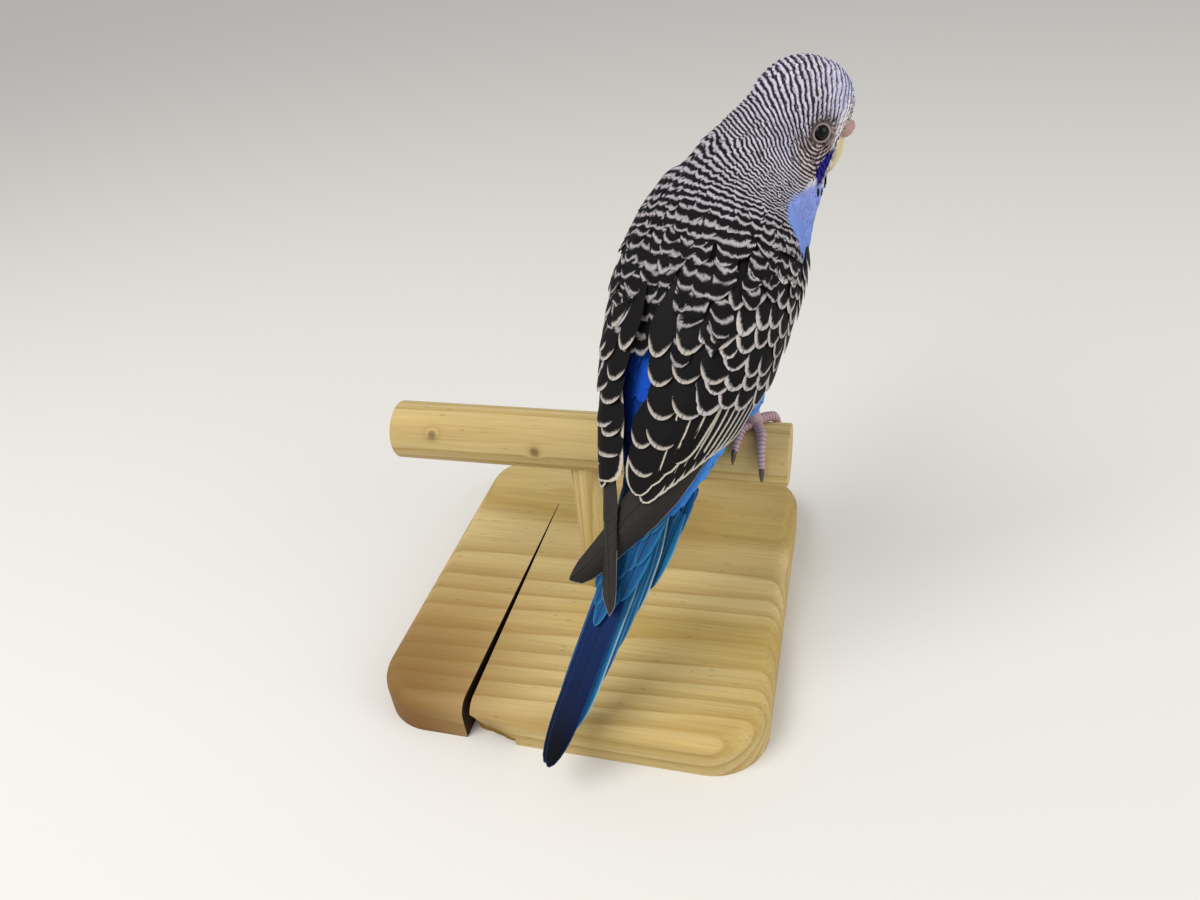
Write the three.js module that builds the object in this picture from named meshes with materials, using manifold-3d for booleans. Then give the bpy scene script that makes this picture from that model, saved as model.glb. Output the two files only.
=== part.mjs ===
// A budgerigar at life size, gripping the crossbar of a small wooden T perch.
// Millimetres, +Z up. The origin is the centre of the wooden base's underside, and +Y is the
// far side of the base, which the bird looks towards, turned a little to the right.
import * as THREE from "three";
import { mergeVertices } from "three/addons/utils/BufferGeometryUtils.js";
import Module from "manifold-3d";

const wasm = await Module();
wasm.setup();

// Driving dimensions of the wooden perch
const BASE = { width: 114.4, depth: 122.4, thick: 13, corner: 16, round: 4.6 };
const CRACK = { x: -26.3, far: 32, mouth: 2.6 };
const POST_RADIUS = 6.5;
const BAR = { radius: 8.75, length: 117.6, x: -1.2, y: -2, height: 52.6 };
const GAP = 0.3;

// Driving dimensions of the bird
const TURN = THREE.MathUtils.degToRad(27);
const HEAD_TURN = THREE.MathUtils.degToRad(43);
const STANCE = { x: 39, feet: -3.4, spread: 12.5 };
const HEAD = { x: 6, y: 27, z: 85.6, tilt: THREE.MathUtils.degToRad(4) };
const EYE = { radius: 3, x: 9, y: 1.6, z: -2.2, lid: 2.75 };
const CERE = { y: 10.7, z: -3.7, wide: 4.2, long: 2.3, high: 2.3 };
const NOSTRIL = { x: 1.8, y: 1.9, z: 0.6, radii: [0.6, 0.9, 0.6] };
const TOE_RADIUS = 1.35;
const AROUND = 20;
// Where along the bird's axis the trunk's rings run, and where it is parted from neck and head
const TRUNK = { from: -6, to: 94, rings: 17 };
const CUTS = { shoulder: 80, nape: 93 };
// The neck starts at a distance along the axis, ends on a line round the head that slants from a
// height at the nape to a height at the throat, and swells between
const NECK = { from: 70, nape: 5.5, throat: -13, swell: 3.2, sunk: 0.4 };
// The tail's feathers: reach from the root, half spread at the root, pairs
const TAIL = { length: 77, spread: 9.5, pairs: 5 };
// Wing feathers: thickness, tilt of one edge over the next feather, radius they curve to across
const VANE = { thick: 0.65, tilt: 0.5, curve: 22 };
// The gap between the folded wings lies to the left of the middle of the back
const BACK_SHIFT = -2.8;
const SHOULDER_SHIFT = -1.4;
// The left wing lies over the right one, and ends over the middle of the tail
const LEFT_TIP = { longer: 2.5, inward: 4.5, higher: 2.4 };

// Head with its feathers, in rings from the crown down: height over the head's centre, reach to
// the forehead or face, reach to the nape, and half width
const HEAD_RINGS = [
  [12.6, 4.6, 4.8, 4.4],
  [11, 8, 8.4, 7.4],
  [7.6, 11.3, 11.6, 9.8],
  [3.6, 12.7, 13.2, 11.2],
  [0, 12.6, 13.8, 11.7],
  [-3.4, 10.7, 13.8, 11.9],
  [-7, 9.2, 13.4, 12],
  [-10.5, 8.6, 12.8, 11.8],
  [-13.5, 7.4, 12, 10.8],
  [-16, 4.6, 10, 8.6],
];
const HEAD_FROM_BELOW = [...HEAD_RINGS].reverse();

// The bird's long axis, from the tail tip forwards to the neck, in the bird's own upright frame:
// x to its right, y forwards, z up, from the bar's axis midway between the feet.
const TAIL_ROOT = new THREE.Vector3(0, -31, 3);
const axis = new THREE.CatmullRomCurve3(
  [
    [0, -80, -55],
    [0, -56, -26.5],
    [0, TAIL_ROOT.y, TAIL_ROOT.z],
    [0, -25.5, 13],
    [0, -17, 28],
    [0, -7.5, 43],
    [-0.2, 3, 57],
    [-0.2, 12, 68],
    [2, 20, 77.5],
    [4.6, 25, 83.5],
  ].map(([x, y, z]) => new THREE.Vector3(x, y, z)),
);
axis.arcLengthDivisions = 400;
const TAIL_LENGTH = arcLengthTo(TAIL_ROOT);
const AXIS_LENGTH = axis.getLength();

// Trunk girth: distance s forward of the tail root, half width, depth to the back, depth to the belly
const GIRTH = [
  [-6, 5, 4, 4],
  [0, 8.6, 6.2, 6.8],
  [12, 13.4, 9.4, 12.6],
  [29, 17.8, 13.4, 17.4],
  [46, 19.4, 16.8, 19],
  [62, 19.4, 18.8, 18.6],
  [72, 18.8, 18.8, 17.8],
  [80, 16.6, 17, 14.6],
  [88, 11.5, 11.6, 10],
  [94, 7, 8, 6],
];

function arcLengthTo(point) {
  const lengths = axis.getLengths(400);
  let best = 0;
  let nearest = Infinity;
  for (let i = 0; i <= 400; i++) {
    const gap = axis.getPoint(i / 400).distanceTo(point);
    if (gap < nearest) {
      nearest = gap;
      best = lengths[i];
    }
  }
  return best;
}

// Smooth interpolation of a table whose first column is the argument
function sample(table, s) {
  const last = table.length - 1;
  let i = 0;
  while (i < last - 1 && s > table[i + 1][0]) i++;
  const before = table[Math.max(i - 1, 0)];
  const from = table[i];
  const to = table[i + 1];
  const after = table[Math.min(i + 2, last)];
  const span = to[0] - from[0];
  const t = THREE.MathUtils.clamp((s - from[0]) / span, 0, 1);
  return from.slice(1).map((value, k) => {
    const leave = ((to[k + 1] - before[k + 1]) / (to[0] - before[0])) * span;
    const arrive = ((after[k + 1] - value) / (after[0] - from[0])) * span;
    const a = 2 * value - 2 * to[k + 1] + leave + arrive;
    const b = -3 * value + 3 * to[k + 1] - 2 * leave - arrive;
    return ((a * t + b) * t + leave) * t + value;
  });
}

// Place and directions on the bird's axis: forwards, to the right and to the back
function frameAt(s) {
  const u = THREE.MathUtils.clamp((s + TAIL_LENGTH) / AXIS_LENGTH, 0, 1);
  const centre = axis.getPointAt(u);
  const forward = axis.getTangentAt(u);
  const right = new THREE.Vector3(1, 0, 0).addScaledVector(forward, -forward.x).normalize();
  const back = new THREE.Vector3().crossVectors(right, forward);
  return { centre, forward, right, back };
}

// The point at distance s along the axis, x to the right of it and d towards the back
function alongAxis(s, x, d) {
  const { centre, right, back } = frameAt(s);
  return centre.addScaledVector(right, x).addScaledVector(back, d);
}

// Closed mesh from rings of points with a cap point at each end
function loft(rings, firstCap, lastCap) {
  const around = rings[0].length;
  const points = [...rings.flat(), firstCap, lastCap];
  const index = [];
  for (let i = 0; i < rings.length - 1; i++) {
    for (let j = 0; j < around; j++) {
      const k = (j + 1) % around;
      const [a, b, c, d] = [i * around + j, i * around + k, (i + 1) * around + k, (i + 1) * around + j];
      index.push(a, b, c, a, c, d);
    }
  }
  const end = (rings.length - 1) * around;
  for (let j = 0; j < around; j++) {
    const k = (j + 1) % around;
    index.push(points.length - 2, k, j);
    index.push(points.length - 1, end + j, end + k);
  }
  return new THREE.BufferGeometry().setFromPoints(points).setIndex(index);
}

// Closed plate between an upper and a lower grid of points that are split into triangles alike
function plate(top, bottom) {
  const rows = top.length;
  const columns = top[0].length;
  const points = [...top.flat(), ...bottom.flat()];
  const under = rows * columns;
  const at = (i, j) => i * columns + j;
  const index = [];
  for (let i = 0; i < rows - 1; i++) {
    for (let j = 0; j < columns - 1; j++) {
      const [a, b, c, d] = [at(i, j), at(i, j + 1), at(i + 1, j + 1), at(i + 1, j)];
      index.push(a, b, c, a, c, d);
      index.push(under + a, under + c, under + b, under + a, under + d, under + c);
    }
  }
  const edge = [];
  for (let j = 0; j < columns - 1; j++) edge.push(at(0, j));
  for (let i = 0; i < rows - 1; i++) edge.push(at(i, columns - 1));
  for (let j = columns - 1; j > 0; j--) edge.push(at(rows - 1, j));
  for (let i = rows - 1; i > 0; i--) edge.push(at(i, 0));
  edge.forEach((from, n) => {
    const to = edge[(n + 1) % edge.length];
    index.push(from, under + from, under + to, from, under + to, to);
  });
  return new THREE.BufferGeometry().setFromPoints(points).setIndex(index);
}

// A three.js geometry as a solid
function solid(geometry) {
  const bare = new THREE.BufferGeometry();
  bare.setAttribute("position", geometry.getAttribute("position"));
  if (geometry.index) bare.setIndex(geometry.index);
  const merged = mergeVertices(bare, 1e-4);
  const corners = Uint32Array.from(merged.index.array);
  const closed = () =>
    new wasm.Manifold(
      new wasm.Mesh({
        numProp: 3,
        vertProperties: Float32Array.from(merged.attributes.position.array),
        triVerts: corners,
      }),
    );
  const made = closed();
  if (made.volume() > 0) return made;
  // The faces look inwards, so the corners of each are taken the other way round
  for (let i = 0; i < corners.length; i += 3) {
    [corners[i + 1], corners[i + 2]] = [corners[i + 2], corners[i + 1]];
  }
  return closed();
}

function fuse(pieces) {
  return pieces.slice(1).reduce((whole, piece) => whole.add(piece), pieces[0]);
}

// The largest closed surface of a solid
function largest(whole) {
  return whole.decompose().reduce((most, body) => (body.volume() > most.volume() ? body : most));
}

function meshOf(name, whole, look) {
  const body = largest(whole).getMesh();
  const position = new Float32Array(body.numVert * 3);
  for (let i = 0; i < body.numVert; i++) {
    position.set(body.vertProperties.subarray(i * body.numProp, i * body.numProp + 3), i * 3);
  }
  const geometry = new THREE.BufferGeometry()
    .setAttribute("position", new THREE.BufferAttribute(position, 3))
    .setIndex(new THREE.BufferAttribute(Uint32Array.from(body.triVerts), 1));
  geometry.computeVertexNormals();
  const mesh = new THREE.Mesh(geometry, look);
  mesh.name = name;
  return mesh;
}

function finish(color, roughness) {
  return new THREE.MeshStandardMaterial({ color, roughness, metalness: 0 });
}

const look = {
  pine: finish(0xcdb273, 0.75),
  trunk: finish(0x2f5fc4, 0.85),
  neck: finish(0x6d6f78, 0.85),
  head: finish(0x9a9ca6, 0.85),
  wing: finish(0x3a3735, 0.8),
  tail: finish(0x123a86, 0.7),
  cere: finish(0xb79a98, 0.5),
  beak: finish(0xd8cfa6, 0.4),
  eye: finish(0x0a0a0c, 0.1),
  foot: finish(0xb99aa6, 0.6),
};

// Point of the trunk's surface at s, at an angle round it from the back, pushed out by a margin
function trunkPoint(s, angle, margin) {
  const [wide, back, belly] = sample(GIRTH, s);
  const depth = (Math.cos(angle) > 0 ? back : belly) + margin;
  return alongAxis(s, (wide + margin) * Math.sin(angle), depth * Math.cos(angle));
}

// Ring of points, each given by its angle round the ring
function around(pointAt) {
  return Array.from({ length: AROUND }, (_, j) => pointAt((j / AROUND) * 2 * Math.PI));
}

function trunkSolid(margin) {
  const rings = [];
  for (let i = 0; i <= TRUNK.rings; i++) {
    const s = THREE.MathUtils.lerp(TRUNK.from, TRUNK.to, i / TRUNK.rings);
    rings.push(around((angle) => trunkPoint(s, angle, margin)));
  }
  const rear = alongAxis(TRUNK.from - 3 - margin, 0, 0);
  return solid(loft(rings, rear, alongAxis(TRUNK.to + 2 + margin, 0, 0)));
}

// The head's own frame: y towards the bill
const headFrame = new THREE.Matrix4()
  .makeRotationZ(-HEAD_TURN)
  .multiply(new THREE.Matrix4().makeRotationX(-HEAD.tilt))
  .setPosition(HEAD.x, HEAD.y, HEAD.z);

function inHead(whole) {
  return whole.transform(headFrame.toArray());
}

// Point of the head's surface at a height, at an angle round it from the face
function headPoint(z, angle, margin) {
  const [face, nape, wide] = sample(HEAD_FROM_BELOW, z);
  const long = Math.cos(angle) > 0 ? face : nape;
  return new THREE.Vector3((wide + margin) * Math.sin(angle), (long + margin) * Math.cos(angle), z);
}

// Skull with its dress of feathers: a high crown, full cheeks and a face that falls back to the bill
function headSolid(margin) {
  const rings = HEAD_FROM_BELOW.map(([z]) => around((angle) => headPoint(z, angle, margin)));
  const throat = new THREE.Vector3(0, -4, HEAD_FROM_BELOW[0][0] - 1.4 - margin);
  const crown = new THREE.Vector3(0, -0.2, HEAD_FROM_BELOW.at(-1)[0] + 0.9 + margin);
  return inHead(solid(loft(rings, throat, crown)));
}

// Neck: rings that pass from the shoulders to a slanting line round the head, high on the nape and
// low under the bill
function neckSolid(margin) {
  const steps = 6;
  const rings = [];
  for (let i = 0; i <= steps; i++) {
    const t = i / steps;
    rings.push(
      around((angle) => {
        const shoulder = trunkPoint(NECK.from, angle, margin - NECK.sunk);
        const fromFace = Math.PI - HEAD_TURN - angle;
        const line = NECK.nape + (NECK.throat - NECK.nape) * (0.5 + 0.5 * Math.cos(fromFace));
        const onHead = headPoint(line, fromFace, margin - NECK.sunk).applyMatrix4(headFrame);
        const swell = NECK.swell * Math.sin(Math.PI * t) * (0.4 - 0.6 * Math.cos(fromFace));
        const outward = onHead.clone().sub(new THREE.Vector3(HEAD.x, HEAD.y, onHead.z)).normalize();
        return shoulder.lerp(onHead, t).addScaledVector(outward, swell);
      }),
    );
  }
  const inside = new THREE.Vector3(HEAD.x, HEAD.y, HEAD.z);
  return solid(loft(rings, alongAxis(NECK.from - 4, 0, 0), inside));
}

// Upper mandible: hooked down from the cere, in rings along its middle line
function upperBeak(margin) {
  const middle = new THREE.CatmullRomCurve3(
    [
      [0, 8.6, -4.4],
      [0, 9.1, -7.8],
      [0, 9.2, -11.2],
      [0, 8.7, -14.6],
    ].map((c) => new THREE.Vector3(...c)),
  );
  const steps = 6;
  const around = 10;
  const rings = [];
  for (let i = 0; i <= steps; i++) {
    const u = i / steps;
    const centre = middle.getPointAt(u);
    const along = middle.getTangentAt(u);
    const front = new THREE.Vector3(1, 0, 0).cross(along).negate();
    const wide = THREE.MathUtils.lerp(4.1, 0.5, u ** 1.7) + margin;
    const deep = THREE.MathUtils.lerp(2.9, 0.45, u ** 1.5) + margin;
    rings.push(
      Array.from({ length: around }, (_, j) => {
        const angle = (j / around) * 2 * Math.PI;
        return centre
          .clone()
          .add(new THREE.Vector3(wide * Math.sin(angle), 0, 0))
          .addScaledVector(front, deep * Math.cos(angle));
      }),
    );
  }
  const start = middle.getPointAt(0).add(new THREE.Vector3(0, 0, margin));
  const tip = middle.getPointAt(1).addScaledVector(middle.getTangentAt(1), 0.3 + margin);
  return solid(loft(rings, start, tip));
}

function ellipsoid(centre, radii, margin, around, high) {
  const shape = new THREE.SphereGeometry(1, around, high);
  shape.rotateX(Math.PI / 2);
  shape.scale(...radii.map((radius) => radius + margin)).translate(...centre);
  return solid(shape);
}

function lowerBeak(margin) {
  return ellipsoid([0, 6.6, -11.4], [2.8, 2.6, 2.5], margin, 10, 8);
}

// Fleshy cere over the root of the bill
function cere(margin) {
  return ellipsoid([0, CERE.y, CERE.z], [CERE.wide, CERE.long, CERE.high], margin, 12, 8);
}

// Nostril pits in the cere's front
function nostrils() {
  const pits = [-1, 1].map((side) =>
    ellipsoid([side * NOSTRIL.x, CERE.y + NOSTRIL.y, CERE.z + NOSTRIL.z], NOSTRIL.radii, 0, 6, 5),
  );
  return fuse(pits);
}

function eyeBall(side, margin) {
  return ellipsoid([side * EYE.x, EYE.y, EYE.z], [EYE.radius, EYE.radius, EYE.radius], margin, 12, 10);
}

// Ring of bare lid round each eye
function eyeLid(side) {
  const outward = new THREE.Vector3(side * 0.97, 0.22, 0.02).normalize();
  const lid = new THREE.TorusGeometry(EYE.lid, 0.55, 4, 14);
  lid.applyQuaternion(new THREE.Quaternion().setFromUnitVectors(new THREE.Vector3(0, 0, 1), outward));
  const centre = new THREE.Vector3(side * EYE.x, EYE.y, EYE.z).addScaledVector(outward, 2);
  lid.translate(centre.x, centre.y, centre.z);
  return solid(lid);
}

// Block that keeps one side of a plane: everything ahead of it along the direction
function ahead(point, direction) {
  const size = 200;
  const block = new THREE.BoxGeometry(size, size, size);
  block.translate(0, 0, size / 2);
  block.applyQuaternion(new THREE.Quaternion().setFromUnitVectors(new THREE.Vector3(0, 0, 1), direction));
  block.translate(point.x, point.y, point.z);
  return solid(block);
}

// The trunk, neck and head are one body parted by two thin cuts
function bodyPieces() {
  const beakRoom = inHead(fuse([upperBeak(GAP), lowerBeak(GAP), cere(GAP)]));
  const eyes = [-1, 1].map((side) => inHead(eyeBall(side, GAP)));
  const lids = [-1, 1].map((side) => inHead(eyeLid(side)));
  let whole = fuse([trunkSolid(0), neckSolid(0), headSolid(0), ...lids]);
  for (const eye of eyes) whole = whole.subtract(eye);
  const { centre: shoulder, forward } = frameAt(CUTS.shoulder);
  const { centre: nape, forward: up } = frameAt(CUTS.nape);
  const napeDirection = up.add(new THREE.Vector3(0.35, 0, 0.1)).normalize();
  const past = (point, direction, gap) => ahead(point.clone().addScaledVector(direction, gap), direction);
  return {
    torso: whole.subtract(past(shoulder, forward, 0)),
    neck: whole.intersect(past(shoulder, forward, GAP)).subtract(past(nape, napeDirection, 0)),
    head: whole.intersect(past(nape, napeDirection, GAP)),
    beakRoom,
  };
}

// A folded wing is a curved sheet laid over the trunk. Its lower, middle and upper edges run from
// the shoulder to the wing tip, each point given by s, x to the side and height over the axis.
const WING_EDGES = {
  lower: [
    [72, 19.2, -6],
    [54, 21, -4],
    [34, 20.6, -0.5],
    [16, 16, 2.8],
    [-2, 8.6, 5.6],
    [-17, -1, 7],
    [-30, -11, 6.8],
  ],
  middle: [
    [80, 18.6, 8.5],
    [60, 20, 10.8],
    [38, 18, 11.4],
    [20, 13.2, 11.2],
    [2, 6.8, 10],
    [-15, -2.4, 8.6],
    [-29, -10.8, 7.4],
  ],
  upper: [
    [73, 9, 18.8],
    [55, 5.6, 19.4],
    [34, 4.4, 16.6],
    [17, 3, 13.4],
    [0, 0.6, 10.8],
    [-14, -4.4, 8.8],
    [-28, -10.7, 7.6],
  ],
};

function wingSheet(side) {
  const curves = ["lower", "middle", "upper"].map((edge, across) => {
    const points = WING_EDGES[edge].map(([s, x, d], i, all) => {
      const along = i / (all.length - 1);
      const reach = side > 0 ? 0 : along ** 3;
      const middleShift = SHOULDER_SHIFT * (1 - along) ** 2;
      const upperShift = BACK_SHIFT * Math.sin(Math.PI * along ** 0.7);
      const shift = [0, middleShift, upperShift][across];
      return alongAxis(
        s - LEFT_TIP.longer * reach,
        side * (x + LEFT_TIP.inward * reach) + shift,
        d + LEFT_TIP.higher * Math.sqrt(reach),
      );
    });
    return new THREE.CatmullRomCurve3(points);
  });
  const at = (a, b) => {
    const [lower, middle, upper] = curves.map((curve) => curve.getPoint(THREE.MathUtils.clamp(a, 0, 1)));
    return lower
      .multiplyScalar(2 * (b - 0.5) * (b - 1))
      .addScaledVector(middle, 4 * b * (1 - b))
      .addScaledVector(upper, 2 * b * (b - 0.5));
  };
  const normal = (a, b) => {
    const step = 0.01;
    const alongA = at(Math.min(a + step, 1), b).sub(at(Math.max(a - step, 0), b));
    const alongB = at(a, b + step).sub(at(a, b - step));
    return alongB.cross(alongA).multiplyScalar(side).normalize();
  };
  return { at, normal };
}

// One feather on a sheet, from root [a, b] to tip [a, b]. It is a thin plate, lifted from low at its
// root to high at its tip, with one edge tilted up over its neighbour.
function vane(sheet, { root, tip, width, low, high, thick, tilt, stations, columns, margin = 0 }) {
  const top = [];
  const bottom = [];
  for (const t of stations) {
    const a = THREE.MathUtils.lerp(root[0], tip[0], t);
    const b = THREE.MathUtils.lerp(root[1], tip[1], t);
    const centre = sheet.at(a, b);
    const across = sheet.at(a, b + 0.02).sub(sheet.at(a, b - 0.02)).normalize();
    const widening = Math.min(1, 0.7 + 0.75 * t);
    const rounding = Math.sqrt(1 - 0.94 * Math.max(0, (t - 0.8) / 0.2) ** 2);
    const half = (width / 2) * widening * rounding + margin;
    const normal = sheet.normal(a, b);
    const lift = THREE.MathUtils.lerp(low, high, t);
    const depth = thick * (1 - 0.5 * t ** 4) + 2 * margin;
    const over = [];
    const beneath = [];
    for (const edge of columns) {
      const point = centre.clone().addScaledVector(across, half * edge);
      const droop = (half * edge) ** 2 / (2 * VANE.curve);
      const height = lift - tilt * edge - droop + margin;
      over.push(point.clone().addScaledVector(normal, height));
      beneath.push(point.addScaledVector(normal, height - depth));
    }
    top.push(over);
    bottom.push(beneath);
  }
  return solid(plate(top, bottom));
}

// The arm of the wing under its coverts
function wingArm(sheet, margin) {
  const rows = 7;
  const columns = 4;
  const top = [];
  const bottom = [];
  for (let i = 0; i < rows; i++) {
    const a = THREE.MathUtils.lerp(0.01, 0.6, i / (rows - 1));
    const over = [];
    const beneath = [];
    for (let j = 0; j < columns; j++) {
      const b = THREE.MathUtils.lerp(0.04, 0.96, j / (columns - 1));
      const point = sheet.at(a, b);
      const normal = sheet.normal(a, b);
      const edge = 4 * (j / (columns - 1)) * (1 - j / (columns - 1));
      const end = (i / (rows - 1)) ** 3;
      const start = (1 - i / (rows - 1)) ** 4;
      const height = 0.8 * Math.sqrt(edge) - 1.2 * end - 1.6 * start;
      over.push(point.clone().addScaledVector(normal, height + margin));
      beneath.push(point.clone().addScaledVector(normal, -1 - 2.6 * edge * (1 - 0.7 * end) - margin));
    }
    top.push(over);
    bottom.push(beneath);
  }
  return solid(plate(top, bottom));
}

// Tiers of the wing from the flight feathers to the shoulder: how many feathers, where along the
// wing the lowest and highest of them are rooted and end, the same across it, their width, and how
// high over the sheet they are rooted and end
const WING_TIERS = [
  [6, [0.36, 0.4], [1, 0.74], [0.1, 0.62], [0.34, 0.7], 8, -1.6, 0],
  [5, [0.3, 0.36], [0.6, 0.7], [0.14, 0.84], [0.16, 0.82], 9.6, -1.2, 0.9],
  [4, [0.22, 0.26], [0.46, 0.54], [0.13, 0.86], [0.14, 0.86], 11.6, -1, 1.5],
  [4, [0.12, 0.15], [0.33, 0.38], [0.13, 0.86], [0.13, 0.86], 11.6, -0.8, 1.8],
  [4, [0.05, 0.07], [0.22, 0.25], [0.13, 0.87], [0.13, 0.87], 11, -0.8, 1.7],
  [3, [0.01, 0.02], [0.13, 0.14], [0.2, 0.8], [0.18, 0.82], 10.6, -2, 0.9],
];
const FLIGHT_STATIONS = [0, 0.35, 0.66, 0.9, 1];
const COVERT_STATIONS = [0, 0.5, 0.84, 1];

function wingSolid(side, margin) {
  const sheet = wingSheet(side);
  const pieces = [wingArm(sheet, margin)];
  for (const [row, [count, rootA, tipA, rootB, tipB, width, low, high]] of WING_TIERS.entries()) {
    for (let i = 0; i < count; i++) {
      const between = ([first, last]) => THREE.MathUtils.lerp(first, last, i / (count - 1));
      pieces.push(
        vane(sheet, {
          root: [between(rootA), between(rootB)],
          tip: [between(tipA), between(tipB)],
          width,
          low,
          high,
          thick: VANE.thick,
          tilt: VANE.tilt,
          stations: row === 0 ? FLIGHT_STATIONS : COVERT_STATIONS,
          columns: [-1, 1],
          margin,
        }),
      );
    }
  }
  return fuse(pieces);
}

// The arched sheet that the tail's feathers are fanned on
function tailSheet(height, arch) {
  const at = (a, b) => {
    const across = (b - 0.5) * 2;
    const s = 6 - a * (TAIL.length + 5.5);
    const wide = TAIL.spread * (1 - 0.42 * a);
    return alongAxis(s, across * wide, height * (1 - 0.75 * a) + arch * (1 - across * across));
  };
  const normal = (a, b) => {
    const step = 0.01;
    const alongA = at(a + step, b).sub(at(a - step, b));
    const alongB = at(a, b + step).sub(at(a, b - step));
    return alongB.cross(alongA).normalize().negate();
  };
  return { at, normal };
}

// The tail: graduated feathers fanned side by side, with coverts over their roots
function tailSolid() {
  const sheet = tailSheet(1.5, 1.6);
  const pieces = [];
  for (let pair = 0; pair < TAIL.pairs; pair++) {
    for (const side of [-1, 1]) {
      const level = pair === 0 && side > 0 ? 0 : pair + 1;
      const apart = pair === 0 ? [0.05, 0.07] : [0.12 + 0.03 * pair, 0.22 + 0.045 * pair];
      pieces.push(
        vane(sheet, {
          root: [0.06, 0.5 + side * apart[0]],
          tip: [pair === 0 ? 0.985 : 0.98 - 0.13 * pair, 0.5 + side * apart[1]],
          width: 5.6,
          low: -0.3 - 0.45 * level,
          high: 0.5 - 0.85 * level,
          thick: 0.5,
          tilt: side * 0.1,
          stations: [0, 0.45, 0.86, 1],
          columns: [-1, 1],
        }),
      );
    }
  }
  const seat = frameAt(-6);
  const root = new THREE.SphereGeometry(1, 12, 8);
  root.scale(6.2, 15, 4.4);
  const lie = new THREE.Quaternion().setFromUnitVectors(new THREE.Vector3(0, 1, 0), seat.forward);
  root.applyQuaternion(lie);
  root.translate(seat.centre.x, seat.centre.y, seat.centre.z);
  pieces.push(solid(root));
  const coverts = tailSheet(2.3, 1.9);
  const under = tailSheet(-4.2, -1.4);
  for (const [row, reach] of [0.42, 0.27].entries()) {
    for (const b of row === 1 ? [0.32, 0.68] : [0.2, 0.5, 0.8]) {
      const place = { root: [0.06, 0.5 + (b - 0.5) * 0.7], tip: [reach, b], width: 6.6 };
      const shape = { thick: 0.6, tilt: 0, stations: [0, 0.5, 0.84, 1], columns: [-1, 1] };
      pieces.push(
        vane(coverts, { ...place, ...shape, low: -1.2, high: 0.5 * row - 0.3 }),
        vane(under, { ...place, ...shape, low: 0.8, high: 0.6 - 0.5 * row }),
      );
    }
  }
  return fuse(pieces);
}

// Feathered thigh from the flank down to the ankle
function legSolid(side, margin) {
  const foot = footPlace(side);
  const hip = new THREE.Vector3(side * 10.5, -8, 28);
  const ankle = new THREE.Vector3(foot.x * 0.97, foot.y - 3, BAR.radius + 7.2);
  const radii = [8.2, 6.2, 2.8].map((radius) => radius + margin);
  return taperedTube([hip, hip.clone().lerp(ankle, 0.5), ankle], radii, 12, 5);
}

// Middle of the foot's grip, in the bird's frame, where the crossbar runs turned by the stance
function footPlace(side) {
  const along = STANCE.feet + side * STANCE.spread;
  return new THREE.Vector3(along * Math.cos(TURN), along * Math.sin(TURN), 0);
}

// Tube through points whose radius runs through the given values
function taperedTube(points, radii, around, steps) {
  const path = new THREE.CatmullRomCurve3(points);
  const rings = [];
  const last = radii.length - 1;
  const side = new THREE.Vector3(1, 0, 0);
  for (let i = 0; i <= steps; i++) {
    const u = i / steps;
    const centre = path.getPoint(u);
    const forward = path.getTangent(u);
    const right = side.clone().addScaledVector(forward, -forward.dot(side)).normalize();
    const up = new THREE.Vector3().crossVectors(right, forward);
    const k = Math.min(Math.floor(u * last), last - 1);
    const radius = THREE.MathUtils.lerp(radii[k], radii[k + 1], u * last - k);
    rings.push(
      Array.from({ length: around }, (_, j) => {
        const angle = (j / around) * 2 * Math.PI;
        return centre
          .clone()
          .addScaledVector(right, radius * Math.sin(angle))
          .addScaledVector(up, radius * Math.cos(angle));
      }),
    );
  }
  const tip = path.getPoint(1).addScaledVector(path.getTangent(1), radii[last] * 0.5);
  const start = path.getPoint(0).addScaledVector(path.getTangent(0), -radii[0] * 0.4);
  return solid(loft(rings, start, tip));
}

// A toe follows the bar round from its top; degrees are measured round the bar, and the claw
// leaves the bar's surface at its end. Directions are the bar's own: x along it, y across.
const TOES = [
  { forward: 1, x: 3.2, splay: 2.4, reach: 88, claw: 24 },
  { forward: 1, x: -1.4, splay: -1.8, reach: 70, claw: 22 },
  { forward: -1, x: 1.8, splay: 1, reach: 80, claw: 24 },
  { forward: -1, x: -2.6, splay: -2, reach: 56, claw: 20 },
];

function toeSolid(side, toe) {
  const orbit = BAR.radius + GAP + TOE_RADIUS;
  const points = [];
  const radii = [];
  const steps = 6;
  for (let i = 0; i <= steps; i++) {
    const t = i / steps;
    const angle = THREE.MathUtils.degToRad(toe.reach * t);
    const knuckle = 1 + 0.06 * Math.cos(t * 6 * Math.PI);
    points.push(
      new THREE.Vector3(
        side * (toe.x * Math.min(1, t * 3) + toe.splay * t),
        toe.forward * orbit * Math.sin(angle),
        orbit * Math.cos(angle),
      ),
    );
    radii.push(TOE_RADIUS * (1 - 0.22 * t) * knuckle);
  }
  const from = THREE.MathUtils.degToRad(toe.reach - 4);
  const to = THREE.MathUtils.degToRad(toe.reach + toe.claw);
  const clawAt = (angle, out, along) =>
    new THREE.Vector3(
      side * (toe.x + toe.splay * along),
      toe.forward * (orbit + out) * Math.sin(angle),
      (orbit + out) * Math.cos(angle),
    );
  const claw = taperedTube(
    [clawAt(from, 0, 1), clawAt((from + to) / 2, 1.1, 1.1), clawAt(to, 0.5, 1.2)],
    [0.95, 0.7, 0.25],
    5,
    3,
  );
  return taperedTube(points, radii, 6, 6).add(claw);
}

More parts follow.
